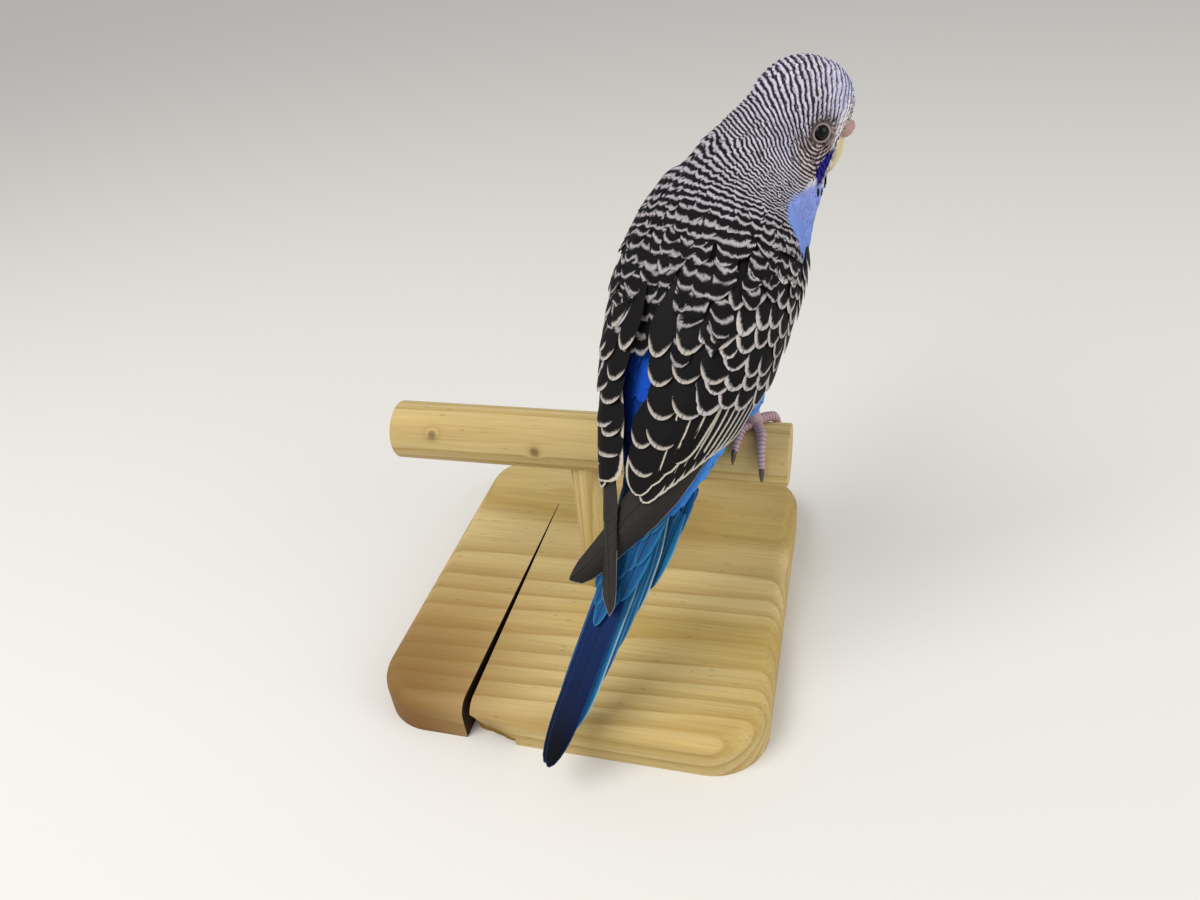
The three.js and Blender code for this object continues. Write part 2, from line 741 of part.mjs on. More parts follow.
// Foot with its bare shank, set on the crossbar
function footSolid(side) {
  const top = BAR.radius + GAP + TOE_RADIUS;
  const shank = taperedTube(
    [
      new THREE.Vector3(0, 0, top),
      new THREE.Vector3(-side * 0.2, -1.8, top + 3),
      new THREE.Vector3(-side * 0.4, -3.2, top + 6),
    ],
    [2, 1.6, 1.6],
    8,
    3,
  );
  const place = new THREE.Matrix4().makeRotationZ(TURN).setPosition(footPlace(side));
  return fuse([shank, ...TOES.map((toe) => toeSolid(side, toe))]).transform(place.toArray());
}

// Wooden parts
function slab() {
  const { width, depth, thick, corner, round } = BASE;
  const inset = new THREE.Shape();
  const [w, h, r] = [width / 2 - round, depth / 2 - round, corner - round];
  inset.moveTo(-w + r, -h);
  inset.lineTo(w - r, -h);
  inset.absarc(w - r, -h + r, r, -Math.PI / 2, 0);
  inset.lineTo(w, h - r);
  inset.absarc(w - r, h - r, r, 0, Math.PI / 2);
  inset.lineTo(-w + r, h);
  inset.absarc(-w + r, h - r, r, Math.PI / 2, Math.PI);
  inset.lineTo(-w, -h + r);
  inset.absarc(-w + r, -h + r, r, Math.PI, Math.PI * 1.5);
  const board = new THREE.ExtrudeGeometry(inset, {
    depth: thick,
    bevelEnabled: true,
    bevelThickness: round,
    bevelSize: round,
    bevelSegments: 3,
    curveSegments: 5,
  });
  const cut = new THREE.BoxGeometry(2 * width, 2 * depth, 4 * round);
  cut.translate(0, 0, -2 * round);
  const lowered = solid(board.translate(0, 0, -round)).subtract(solid(cut));
  const wedge = new THREE.Shape();
  wedge.moveTo(CRACK.x - 0.2, CRACK.far);
  wedge.lineTo(CRACK.x - CRACK.mouth / 2, -depth / 2 - 2);
  wedge.lineTo(CRACK.x + CRACK.mouth / 2, -depth / 2 - 2);
  wedge.lineTo(CRACK.x + 0.2, CRACK.far);
  const gash = new THREE.ExtrudeGeometry(wedge, { depth: 2 * thick, bevelEnabled: false });
  return lowered.subtract(solid(gash.translate(0, 0, -2)));
}

function post() {
  const top = BASE.thick + BAR.height;
  const rod = new THREE.CylinderGeometry(POST_RADIUS, POST_RADIUS, BAR.height - GAP, 24);
  rod.rotateX(Math.PI / 2).translate(0, BAR.y, BASE.thick + GAP + (BAR.height - GAP) / 2);
  const seat = new THREE.CylinderGeometry(BAR.radius + GAP, BAR.radius + GAP, BAR.length, 36);
  seat.rotateZ(Math.PI / 2).translate(0, BAR.y, top);
  return solid(rod).subtract(solid(seat));
}

function bar() {
  const rod = new THREE.CylinderGeometry(BAR.radius, BAR.radius, BAR.length, 36);
  return solid(rod.rotateZ(Math.PI / 2));
}

// Assembly
const root = new THREE.Group();
root.add(meshOf("stand_base", slab(), look.pine));
root.add(meshOf("stand_post", post(), look.pine));
const crossbar = meshOf("stand_crossbar", bar(), look.pine);
crossbar.position.set(BAR.x, BAR.y, BASE.thick + BAR.height);
root.add(crossbar);

const bird = new THREE.Group();
bird.position.set(STANCE.x, BAR.y, BASE.thick + BAR.height);
bird.rotation.z = -TURN;
root.add(bird);

const { torso, neck, head, beakRoom } = bodyPieces();
const fatTrunk = trunkSolid(GAP);
const fatNeck = neckSolid(GAP).add(headSolid(GAP));
bird.add(meshOf("torso", torso, look.trunk));
bird.add(meshOf("neck", neck, look.neck));
bird.add(meshOf("head", head.subtract(beakRoom), look.head));

const headGroup = new THREE.Group();
headGroup.applyMatrix4(headFrame);
bird.add(headGroup);
headGroup.add(meshOf("cere", cere(0).subtract(nostrils()), look.cere));
headGroup.add(meshOf("beak_upper", upperBeak(0).subtract(cere(GAP)), look.beak));
headGroup.add(meshOf("beak_lower", lowerBeak(0).subtract(upperBeak(GAP)), look.beak));
const leftOver = wingSolid(-1, GAP);
for (const [name, side] of [["left", -1], ["right", 1]]) {
  headGroup.add(meshOf("eye_" + name, eyeBall(side, 0), look.eye));
  const wing = wingSolid(side, 0).subtract(fatTrunk).subtract(fatNeck);
  bird.add(meshOf("wing_" + name, side < 0 ? wing : wing.subtract(leftOver), look.wing));
  bird.add(meshOf("leg_" + name, legSolid(side, 0).subtract(fatTrunk), look.trunk));
  bird.add(meshOf("foot_" + name, footSolid(side).subtract(legSolid(side, GAP)), look.foot));
}
bird.add(meshOf("tail", tailSolid().subtract(fatTrunk), look.tail));

export default root;
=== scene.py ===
import math

import bmesh
import bpy
import numpy as np
from mathutils import Matrix, Vector
from mathutils.bvhtree import BVHTree


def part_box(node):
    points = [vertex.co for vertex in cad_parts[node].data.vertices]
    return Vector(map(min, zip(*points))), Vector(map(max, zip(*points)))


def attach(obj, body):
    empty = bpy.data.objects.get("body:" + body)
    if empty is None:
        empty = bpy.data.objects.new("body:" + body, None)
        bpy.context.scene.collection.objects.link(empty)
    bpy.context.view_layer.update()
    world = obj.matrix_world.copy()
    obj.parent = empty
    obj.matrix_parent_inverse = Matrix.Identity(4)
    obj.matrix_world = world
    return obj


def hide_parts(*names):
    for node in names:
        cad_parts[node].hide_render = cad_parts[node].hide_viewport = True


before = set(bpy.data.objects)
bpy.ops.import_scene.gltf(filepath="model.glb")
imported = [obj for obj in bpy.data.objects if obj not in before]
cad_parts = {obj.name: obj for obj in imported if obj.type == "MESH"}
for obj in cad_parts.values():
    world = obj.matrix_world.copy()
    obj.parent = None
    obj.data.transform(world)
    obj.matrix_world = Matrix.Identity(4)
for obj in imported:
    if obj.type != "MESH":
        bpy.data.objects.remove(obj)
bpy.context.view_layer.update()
MM = 0.001

# Camera: above and behind the bird, looking down over its back, where the photograph was taken.
CAMERA_AT = Vector((0.071785, -0.209016, 0.212068))
YAW, PITCH, ROLL = (math.radians(angle) for angle in (-18.3904, 34.3949, 6.6148))
LENS, SENSOR = 27.116, 36.0
ahead = Vector((math.sin(YAW) * math.cos(PITCH), math.cos(YAW) * math.cos(PITCH), -math.sin(PITCH)))
level = Vector((math.cos(YAW), -math.sin(YAW), 0))
down = ahead.cross(level)
across_view = level * math.cos(ROLL) + down * math.sin(ROLL)
down_view = down * math.cos(ROLL) - level * math.sin(ROLL)
camera = bpy.data.objects.new("camera", bpy.data.cameras.new("camera"))
bpy.context.scene.collection.objects.link(camera)
camera.data.lens = LENS
camera.data.sensor_width = SENSOR
camera.data.clip_start = 0.01
camera.matrix_world = Matrix(
    [[across_view[i], -down_view[i], -ahead[i], CAMERA_AT[i]] for i in range(3)] + [[0, 0, 0, 1]]
)
bpy.context.scene.camera = camera

# Studio: a plain pale floor, a large soft light from the upper left, a weaker one from the right
# and pale air all round.
FLOOR_HALF = 6.0


def linear(code):
    """A colour written as sRGB hex, in linear light."""
    parts = [int(code[i : i + 2], 16) / 255 for i in (1, 3, 5)]
    return [c / 12.92 if c <= 0.04045 else ((c + 0.055) / 1.055) ** 2.4 for c in parts] + [1.0]


def add(tree, kind, inputs=(), **settings):
    """A node with its settings. Its inputs come in order or by name, each as a value, as the socket
    that feeds it, or as the node whose first socket in use does."""
    made = tree.nodes.new("ShaderNode" + kind)
    for name, value in settings.items():
        setattr(made, name, value)
    for name, value in inputs.items() if isinstance(inputs, dict) else enumerate(inputs):
        if isinstance(value, bpy.types.Node):
            value = next(socket for socket in value.outputs if socket.enabled)
        if isinstance(value, bpy.types.NodeSocket):
            tree.links.new(value, made.inputs[name])
        else:
            made.inputs[name].default_value = value
    return made


def finish_of(name, **shader):
    """A new material, its nodes and its shader, with the shader's own numbers set."""
    made = bpy.data.materials.new(name)
    made.use_nodes = True
    gloss = made.node_tree.nodes["Principled BSDF"]
    for socket, value in shader.items():
        gloss.inputs[socket.replace("_", " ")].default_value = value
    return made, made.node_tree, gloss


def plain_finish(name, code, **shader):
    """A new material of one colour."""
    made, _, gloss = finish_of(name, **shader)
    gloss.inputs["Base Color"].default_value = linear(code)
    return made


def piece_of(name, shape, *finishes):
    """A bmesh as a new object of the scene, with its finishes."""
    mesh = bpy.data.meshes.new(name)
    shape.to_mesh(mesh)
    shape.free()
    made = bpy.data.objects.new(name, mesh)
    bpy.context.scene.collection.objects.link(made)
    for finish in finishes:
        mesh.materials.append(finish)
    return made


painted_card = plain_finish("pale matt card", "#d9d6d0", Roughness=0.9, Specular_IOR_Level=0.2)
shape = bmesh.new()
bmesh.ops.create_grid(shape, x_segments=2, y_segments=2, size=FLOOR_HALF)
floor = piece_of("floor", shape, painted_card)

scene = bpy.context.scene
scene.view_settings.view_transform = "Standard"
scene.world = bpy.data.worlds.new("studio air")
scene.world.use_nodes = True
air = scene.world.node_tree.nodes["Background"]
air.inputs["Color"].default_value = linear("#f4f4f6")
air.inputs["Strength"].default_value = 0.7
LIT_PLACE = Vector((0.03, -0.01, 0.09))
# Name, place, size in metres and watts
SOFTBOXES = [
    ("softbox_left", (-0.35, -0.45, 0.75), 0.55, 6.0),
    ("softbox_right", (0.75, -0.2, 0.45), 0.6, 2.6),
]
for name, at, size, watts in SOFTBOXES:
    lamp = bpy.data.lights.new(name, "AREA")
    lamp.size = size
    lamp.energy = watts
    holder = bpy.data.objects.new(name, lamp)
    holder.location = at
    holder.rotation_mode = "QUATERNION"
    holder.rotation_quaternion = (LIT_PLACE - Vector(at)).to_track_quat("-Z", "Y")
    scene.collection.objects.link(holder)

# Perch: a sanded pine board with rounded corners and a rolled edge, split along the grain from its
# front edge, a turned post let into it, and a turned bar across the top of the post.
base_low, base_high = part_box("stand_base")
post_low, post_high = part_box("stand_post")
bar_low, bar_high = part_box("stand_crossbar")
CORNER, ROLLED = 16 * MM, 4.6 * MM
SPLIT_AT, SPLIT_END = -26.3 * MM, 32 * MM
SPLIT_MOUTH, SPLIT_TIP, CUT_PAST = 2.6 * MM, 0.2 * MM, 10 * MM
BAR_RADIUS = (bar_high.z - bar_low.z) / 2
bar_middle = (bar_low + bar_high) / 2
# Colours across one year's ring, its two ends first
RING_TONES = [
    (0.0, "#c3ad76"),
    (1.0, "#b89e66"),
    (0.12, "#c6b07a"),
    (0.5, "#bfa76e"),
    (0.84, "#ab8f56"),
    (0.93, "#9f8248"),
]
KNOT_CORE, KNOT_RIM, KNOT_PARTS = 0.6 * MM, 2.2 * MM, 5 * MM
# Patterns, in repeats to the metre: waves of the rings and clouds of tone some 40 and 20 mm wide,
# resin pores 2 mm apart, and fibres 0.7 mm wide, coarser than real ones so that they show
WAVES, CLOUDS, PORES, FIBRES = 26.0, 45.0, 520.0, 1500.0


def sanded_pine(name, pith, pitch, knots=(), stains=()):
    """Pale pine: year rings a pitch of mm apart round the log's pith (a place in mm, None on the
    axis that the log runs along), fine pores, knots, and stains as (place, reach, strength, code)."""
    made, tree, gloss = finish_of(name, Roughness=0.6, Specular_IOR_Level=0.3)
    place = add(tree, "TexCoord").outputs["Object"]
    # The place drawn out along the grain: by 6 for slow changes, 33 for fibres, 5 for pores
    slow, thin, short = (
        add(tree, "Mapping", {"Vector": place, "Scale": [share if at is None else 1.0 for at in pith]})
        for share in (0.16, 0.03, 0.2)
    )
    wander = add(tree, "TexNoise", {"Vector": slow, "Scale": WAVES, "Detail": 1.5})
    offset = [0.0 if at is None else -at * MM for at in pith]
    across = [0.0 if at is None else 1.0 for at in pith]
    from_pith = add(tree, "Mapping", {"Vector": place, "Location": offset, "Scale": across})
    radius = add(tree, "VectorMath", (from_pith,), operation="LENGTH")
    ringed = add(tree, "Math", (wander, 0.02, radius), operation="MULTIPLY_ADD")
    for spot in knots:
        # The rings part round each knot
        apart = add(tree, "VectorMath", (place, spot), operation="DISTANCE")
        push = add(tree, "MapRange", (apart, 0.0, KNOT_PARTS, MM, 0.0), interpolation_type="SMOOTHERSTEP")
        ringed = add(tree, "Math", (ringed, push), operation="ADD")
    count = add(tree, "Math", (ringed, pitch * MM), operation="DIVIDE")
    tone = add(tree, "ValToRGB", (add(tree, "Math", (count,), operation="FRACT"),))
    stops = tone.color_ramp.elements
    for k, (stop, code) in enumerate(RING_TONES):
        (stops[k] if k < 2 else stops.new(stop)).color = linear(code)
    fine = add(tree, "TexNoise", {"Vector": thin, "Scale": FIBRES, "Detail": 3.0})
    broad = add(tree, "TexNoise", {"Vector": slow, "Scale": CLOUDS, "Detail": 2.0})
    streak = add(tree, "MapRange", (fine, 0.3, 0.7, 0.88, 1.08))
    cloud = add(tree, "MapRange", (broad, 0.35, 0.65, 0.88, 1.06))
    both = add(tree, "Math", (streak, cloud), operation="MULTIPLY")
    shown = add(tree, "Math", (cloud, 0.72), operation="MULTIPLY")
    faded = add(tree, "Mix", {0: shown, 6: linear("#bfa66c"), 7: tone}, data_type="RGBA")
    golden = add(tree, "MapRange", (wander, 0.5, 0.68, 0.0, 0.75), interpolation_type="SMOOTHSTEP")
    warmed = add(tree, "Mix", {0: golden, 6: faded, 7: linear("#a68a45")}, data_type="RGBA")
    # Short dark resin pores
    specks = add(tree, "TexVoronoi", {"Vector": short, "Scale": PORES})
    pore = add(tree, "MapRange", (specks, 0.05, 0.13, 0.62, 1.0))
    pored = add(tree, "Math", (both, pore), operation="MULTIPLY")
    last = add(tree, "VectorMath", {0: warmed, "Scale": pored}, operation="SCALE")
    marks = [(spot, 0.0, KNOT_CORE, KNOT_RIM, 0.75, "#5f4420") for spot in knots]
    marks += [(spot, reach * 0.7, 0.0, reach, strength, code) for spot, reach, strength, code in stains]
    for spot, uneven, inner, outer, strength, code in marks:
        apart = add(tree, "VectorMath", (place, spot), operation="DISTANCE")
        swayed = add(tree, "Math", (wander, uneven, apart), operation="MULTIPLY_ADD")
        ends = (inner + uneven / 2, outer + uneven / 2, strength, 0.0)
        dark = add(tree, "MapRange", (swayed, *ends), interpolation_type="SMOOTHSTEP")
        last = add(tree, "Mix", {0: dark, 6: last, 7: linear(code)}, data_type="RGBA")
    bump = add(tree, "Bump", {"Height": fine, "Strength": 0.1, "Distance": 0.3 * MM})
    colour = next(socket for socket in last.outputs if socket.enabled)
    tree.links.new(colour, gloss.inputs["Base Color"])
    tree.links.new(bump.outputs["Normal"], gloss.inputs["Normal"])
    return made


def mottled_finish(name, dark, pale, stretch, scale, **shader):
    """Two colours in soft mottles, drawn out along an axis, with the nodes that give them."""
    made, tree, gloss = finish_of(name, **shader)
    drawn = add(tree, "Mapping", {"Vector": add(tree, "TexCoord").outputs["Object"], "Scale": stretch})
    blotch = add(tree, "TexNoise", {"Vector": drawn, "Scale": scale, "Detail": 2.0})
    tone = add(tree, "Mix", {0: blotch, 6: linear(dark), 7: linear(pale)}, data_type="RGBA")
    tree.links.new(tone.outputs[2], gloss.inputs["Base Color"])
    return made, tree, gloss, tone


FRONT_STAINS = [
    ((-0.046, -0.036, 0.013), 0.05, 0.6, "#8a6629"),
    ((-0.05, -0.066, -0.002), 0.05, 1.0, "#6f4a17"),
    ((0.02, 0.03, 0.016), 0.03, 0.45, "#a2803c"),
]
CHIP_STAIN = ((-0.02, -0.063, 0.003), 0.009, 0.85, "#5a3a18")
BAR_KNOTS = ((-0.046, -0.0098, 0.0695), (-0.014, -0.0105, 0.0665))
board_pine = sanded_pine("sanded pine board", (None, 28, -62), 4.2, stains=(*FRONT_STAINS, CHIP_STAIN))
bar_pine = sanded_pine("turned pine bar", (None, 14, 58), 2.9, knots=BAR_KNOTS)
post_pine = sanded_pine("turned pine post", (-9, 12, None), 2.6)
# The split's inner walls: near-black brown, painted shade inside the narrow crack
split_shade_finish = plain_finish("split walls in painted shade", "#3b2a18", Roughness=0.85, Specular_IOR_Level=0.1)
torn_wood, *_ = mottled_finish(
    "torn wood fibres", "#4f3717", "#a8853c", [1, 0.15, 1], 1400.0, Roughness=0.8, Specular_IOR_Level=0.1
)

shape = bmesh.new()
bmesh.ops.create_cube(shape, size=1.0)
bmesh.ops.scale(shape, vec=base_high - base_low, verts=shape.verts)
bmesh.ops.translate(shape, vec=(base_high + base_low) / 2, verts=shape.verts)


def edges_where(shape, wanted):
    return [edge for edge in shape.edges if wanted(edge.verts[0].co, edge.verts[1].co)]


upright = edges_where(shape, lambda p, q: abs(p.z - q.z) > 1e-5)
bmesh.ops.bevel(shape, geom=upright, offset=CORNER, segments=12, profile=0.5, affect="EDGES", material=-1)
rim = edges_where(shape, lambda p, q: min(p.z, q.z) > base_high.z - 1e-5)
bmesh.ops.bevel(shape, geom=rim, offset=ROLLED, segments=6, profile=0.5, affect="EDGES", material=-1)
board = piece_of("perch_board", shape, board_pine, split_shade_finish, torn_wood)
split = bmesh.new()
front = base_low.y - CUT_PAST
corners = [
    (-SPLIT_MOUTH / 2, front),
    (SPLIT_MOUTH / 2, front),
    (SPLIT_TIP / 2, SPLIT_END),
    (-SPLIT_TIP / 2, SPLIT_END),
]
wedge = [split.verts.new((SPLIT_AT + x, y, -CUT_PAST)) for x, y in corners]
wall = bmesh.ops.extrude_face_region(split, geom=[split.faces.new(wedge)])
top = [v for v in wall["geom"] if isinstance(v, bmesh.types.BMVert)]
bmesh.ops.translate(split, vec=(0, 0, 5 * CUT_PAST), verts=top)
bmesh.ops.recalc_face_normals(split, faces=split.faces)
# The chip torn out beside the split's mouth, in millimetres, deepest next to the split
CHIP_FROM, CHIP_TO, CHIP_DEEP, CHIP_HIGH, CHIP_ROUGH = -26.0, -12.5, 4.2, 10.5, 0.3
chip = bmesh.new()
bmesh.ops.create_cube(chip, size=1.0)
bmesh.ops.subdivide_edges(chip, edges=chip.edges, cuts=6, use_grid_fill=True)
chip_middle = Vector(((CHIP_FROM + CHIP_TO) / 2, base_low.y / MM, 0)) * MM
chip_rng = np.random.default_rng(3)
for vert in chip.verts:
    taper = 1 - 0.75 * (vert.co.x + 0.5)
    rough = Vector(chip_rng.normal(0, CHIP_ROUGH, 3)) * MM * taper
    wide = vert.co.x * (CHIP_TO - CHIP_FROM) * MM
    deep, high = vert.co.y * 2 * CHIP_DEEP * MM * taper, vert.co.z * 2 * CHIP_HIGH * MM * taper
    vert.co = Vector((wide, deep, high)) + chip_middle + rough
cutters = [piece_of("split_cutter", split), piece_of("chip_cutter", chip)]


def reshape(piece, kind, **settings):
    """One more change to a piece's mesh."""
    step = piece.modifiers.new(kind, kind)
    for name, value in settings.items():
        setattr(step, name, value)


for cutter in cutters:
    reshape(board, "BOOLEAN", operation="DIFFERENCE", object=cutter)


def applied(piece):
    """The piece's mesh with its modifiers made real."""
    graph = bpy.context.evaluated_depsgraph_get()
    mesh = bpy.data.meshes.new_from_object(piece.evaluated_get(graph))
    piece.modifiers.clear()
    piece.data = mesh
    return piece


applied(board)
# Faces inside the split take the painted shade, those of the chip the torn fibres
for face in board.data.polygons:
    at = face.center
    in_split = abs(at.x - SPLIT_AT) < SPLIT_MOUTH and at.y < SPLIT_END and abs(face.normal.x) > 0.9
    in_chip = CHIP_FROM < at.x / MM < CHIP_TO and at.y - base_low.y < CHIP_DEEP * MM
    in_chip = in_chip and 0.1 < at.z / MM < CHIP_HIGH and max(-face.normal.y, abs(face.normal.z)) < 0.995
    face.material_index = 1 if in_split else 2 if in_chip else 0
for cutter in cutters:
    bpy.data.objects.remove(cutter)


def turned_rod(name, finish, radius, length, middle, along_x, ease):
    """A turned wooden rod with its end edges eased."""
    shape = bmesh.new()
    bmesh.ops.create_cone(shape, cap_ends=True, segments=64, radius1=radius, radius2=radius, depth=length)
    ends = edges_where(shape, lambda p, q: abs(p.z - q.z) < 1e-6)
    bmesh.ops.bevel(shape, geom=ends, offset=ease, segments=2, profile=0.5, affect="EDGES", material=-1)
    if along_x:
        bmesh.ops.rotate(shape, matrix=Matrix.Rotation(math.pi / 2, 3, "Y"), verts=shape.verts)
    bmesh.ops.translate(shape, vec=middle, verts=shape.verts)
    return piece_of(name, shape, finish)


TENON = 3 * MM
bar = turned_rod("perch_bar", bar_pine, BAR_RADIUS, bar_high.x - bar_low.x, bar_middle, True, 0.4 * MM)
post_radius = (post_high.x - post_low.x) / 2
post_top = bar_low.z + TENON
post_middle = Vector(((post_low.x + post_high.x) / 2, bar_middle.y, (base_high.z + post_top) / 2))
post = turned_rod("perch_post", post_pine, post_radius, post_top - base_high.z, post_middle, False, 0.2 * MM)
for piece, node_name in ((board, "stand_base"), (bar, "stand_crossbar"), (post, "stand_post")):
    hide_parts(node_name)
    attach(piece, "root")


def shade_smooth(piece, sharp_angle=0.6):
    """Smooth shading, kept sharp where faces turn by more than an angle."""
    shape = bmesh.new()
    shape.from_mesh(piece.data)
    for face in shape.faces:
        face.smooth = True
    for edge in shape.edges:
        if len(edge.link_faces) == 2:
            edge.smooth = edge.calc_face_angle(0) < sharp_angle
    shape.to_mesh(piece.data)
    shape.free()


for piece in (board, bar, post):
    shade_smooth(piece)

# Skin: the bare form of head, neck, trunk and thighs under the feathers, one seamless surface
# that lies inside those solids by the coat's depth. Lengths from here on are in millimetres.
STANCE = np.array([39.0, -2.0, 65.6])
TURN = math.radians(27)
HEAD_AT = np.array([6.0, 27.0, 85.6])
HEAD_TURN, HEAD_TILT = math.radians(43), math.radians(4)
COAT_DEPTH = 1.0
EYE_AT = np.array([9.0, 1.6, -2.2])
BILL_AT = np.array([0.0, 10.5, -6.0])
AXIS = [
    (0, -80, -55),
    (0, -56, -26.5),
    (0, -31, 3),
    (0, -25.5, 13),
    (0, -17, 28),
    (0, -7.5, 43),
    (-0.2, 3, 57),
    (-0.2, 12, 68),
    (2, 20, 77.5),
    (4.6, 25, 83.5),
]
TAIL_ROOT = 2
rng = np.random.default_rng(7)


def turn_z(angle):
    c, s = math.cos(angle), math.sin(angle)
    return np.array([[c, -s, 0], [s, c, 0], [0, 0, 1]])


def turn_x(angle):
    c, s = math.cos(angle), math.sin(angle)
    return np.array([[1, 0, 0], [0, c, -s], [0, s, c]])


BIRD_TURN = turn_z(-TURN)
HEAD_TURNED = BIRD_TURN @ turn_z(-HEAD_TURN) @ turn_x(-HEAD_TILT)
HEAD_CENTRE = BIRD_TURN @ HEAD_AT + STANCE


def from_bird(points):
    return np.asarray(points) @ BIRD_TURN.T + STANCE


def to_bird(points):
    return (points - STANCE) @ BIRD_TURN


def from_head(points):
    return np.asarray(points) @ HEAD_TURNED.T + HEAD_CENTRE


def to_head(points):
    return (points - HEAD_CENTRE) @ HEAD_TURNED


def smooth_curve(points, u):
    """Centripetal curve through points, for u from 0 to 1."""
    p = np.asarray(points, float)
    ends = np.vstack([2 * p[0] - p[1], p, 2 * p[-1] - p[-2]])
    place = np.clip(np.asarray(u, float), 0, 1) * (len(p) - 1)
    k = np.minimum(place.astype(int), len(p) - 2)
    w = (place - k)[..., None]
    a, b, c, d = (ends[k + i] for i in range(4))
    ab, bc, cd = (np.sqrt(np.linalg.norm(q - p, axis=-1, keepdims=True)) for p, q in ((a, b), (b, c), (c, d)))
    leave = ((b - a) / ab - (c - a) / (ab + bc) + (c - b) / bc) * bc
    arrive = ((c - b) / bc - (d - b) / (bc + cd) + (d - c) / cd) * bc
    return b + leave * w + (3 * (c - b) - 2 * leave - arrive) * w**2 + (2 * (b - c) + leave + arrive) * w**3


def unit(v):
    return v / np.maximum(np.linalg.norm(v, axis=-1, keepdims=True), 1e-9)


axis_steps = smooth_curve(AXIS, np.linspace(0, 1, 901))
axis_length = np.concatenate([[0], np.cumsum(np.linalg.norm(np.diff(axis_steps, axis=0), axis=1))])
axis_length -= axis_length[900 * TAIL_ROOT // (len(AXIS) - 1)]


def axis_frame(s):
    """Point, right, back and forward of the body's axis at a length from the tail's root."""
    at = np.stack([np.interp(s, axis_length, axis_steps[:, i]) for i in range(3)], -1)
    on = np.stack([np.interp(s + 0.5, axis_length, axis_steps[:, i]) for i in range(3)], -1)
    before = np.stack([np.interp(s - 0.5, axis_length, axis_steps[:, i]) for i in range(3)], -1)
    forward = unit(on - before)
    right = unit(np.array([1.0, 0, 0]) - forward * forward[..., :1])
    return at, right, np.cross(right, forward), forward


def along_axis(s, x, d):
    """Bird point beside the axis: x to its right and d towards its back."""
    at, right, back, _ = axis_frame(s)
    return at + right * np.asarray(x)[..., None] + back * np.asarray(d)[..., None]


def trunk_place(points):
    """Length s, sideways x and backwards d of bird points from the body's axis."""
    near = axis_steps[::6]
    s = np.empty(len(points))
    for i in range(0, len(points), 4000):
        apart = ((points[i : i + 4000, None] - near[None]) ** 2).sum(-1)
        s[i : i + 4000] = axis_length[::6][apart.argmin(1)]
    at, right, back, _ = axis_frame(s)
    off = points - at
    return s, (off * right).sum(-1), (off * back).sum(-1)


FLESH = ("torso", "neck", "head", "leg_left", "leg_right")
SKIN_SWELL, SKIN_VOXEL, SKIN_SPARE = 0.35, 0.8, 0.3


def mesh_of(name, points, faces, finish):
    """World points in millimetres and faces as a new object."""
    mesh = bpy.data.meshes.new(name)
    mesh.from_pydata((np.asarray(points) * MM).tolist(), [], faces)
    mesh.materials.append(finish)
    made = bpy.data.objects.new(name, mesh)
    bpy.context.scene.collection.objects.link(made)
    return made


def dress(piece, slot, *nodes):
    """The piece rides with the still body and takes the place of the named solids."""
    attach(piece, "root")
    if nodes:
        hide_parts(*nodes)
    return piece


def tree_of(points, faces):
    return BVHTree.FromPolygons(np.asarray(points).tolist(), faces)


def joined_solids(names):
    """Some of the solids as one mesh."""
    shape = bmesh.new()
    for node_name in names:
        shape.from_mesh(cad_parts[node_name].data)
    bmesh.ops.remove_doubles(shape, verts=shape.verts, dist=1e-6)
    return shape


def arrays_of(piece):
    """A piece's points in millimetres and its faces."""
    return np.array([v.co for v in piece.data.vertices]) / MM, [list(f.vertices) for f in piece.data.polygons]


flesh = joined_solids(FLESH)
bmesh.ops.triangulate(flesh, faces=flesh.faces)
skin_finish, skin_tree, skin_gloss = finish_of("bird skin", Roughness=0.7)
skin = piece_of("skin", flesh, skin_finish)
reshape(skin, "DISPLACE", strength=SKIN_SWELL * MM, mid_level=0)
reshape(skin, "REMESH", mode="VOXEL", voxel_size=SKIN_VOXEL * MM)
reshape(skin, "SMOOTH", iterations=14, factor=0.6)
reshape(skin, "DISPLACE", strength=-(COAT_DEPTH + SKIN_SPARE) * MM, mid_level=0)
applied(skin)
reshape(skin, "SMOOTH", iterations=6)
applied(skin)
skin_points, skin_quads = arrays_of(skin)
skin_faces = [q[:3] for q in skin_quads] + [[q[0], q[2], q[3]] for q in skin_quads if len(q) == 4]
skin_bvh = tree_of(skin_points, skin_faces)
dress(skin, "body_plumage", *FLESH)
shade_smooth(skin, 3.0)


def paint_skin():
    """The skin takes the plumage's own colours, darkened as painted shade where it shows between the
    feathers.
    """
    dark, pale, share = plumage(skin_points)
    # Pulled towards the dark colour and scaled by 0.7: painted shade for the gaps between feathers
    under = mix(dark, pale, share * 0.5) * 0.7
    layer = skin.data.attributes.new("dark", "FLOAT_COLOR", "POINT")
    filled = np.concatenate([under, np.ones((len(under), 1))], 1)
    layer.data.foreach_set("color", filled.reshape(-1).astype(np.float32))
    given = add(skin_tree, "Attribute", attribute_name="dark")
    skin_tree.links.new(given.outputs["Color"], skin_gloss.inputs["Base Color"])


# Plumage: how the contour feathers lie and how they are marked. Fine dark bars run over crown,
# cheeks and nape and widen on the mantle; the rest is soft violet-blue, cobalt and sky blue.
BAR_PITCH = [(-20, 0.82), (3, 0.86), (10, 1.0), (20, 1.25), (30, 1.65), (40, 2.4), (50, 3.2), (60, 3.8)]
TRUNK_LEAD = 106
HEAD_BLEND = (68, 92)
MANTLE_END = 40
HIP, ANKLE = (10.5, -8, 28), (12.5, -4, 15.5)


def read_off(table, x):
    """The value at x along a table of pairs."""
    return np.interp(x, *zip(*table))


pitch_steps = np.linspace(-20, 150, 1701)
pitch_at = read_off(BAR_PITCH, pitch_steps)
wave_steps = np.concatenate([[0], np.cumsum(0.1 / pitch_at[1:])])


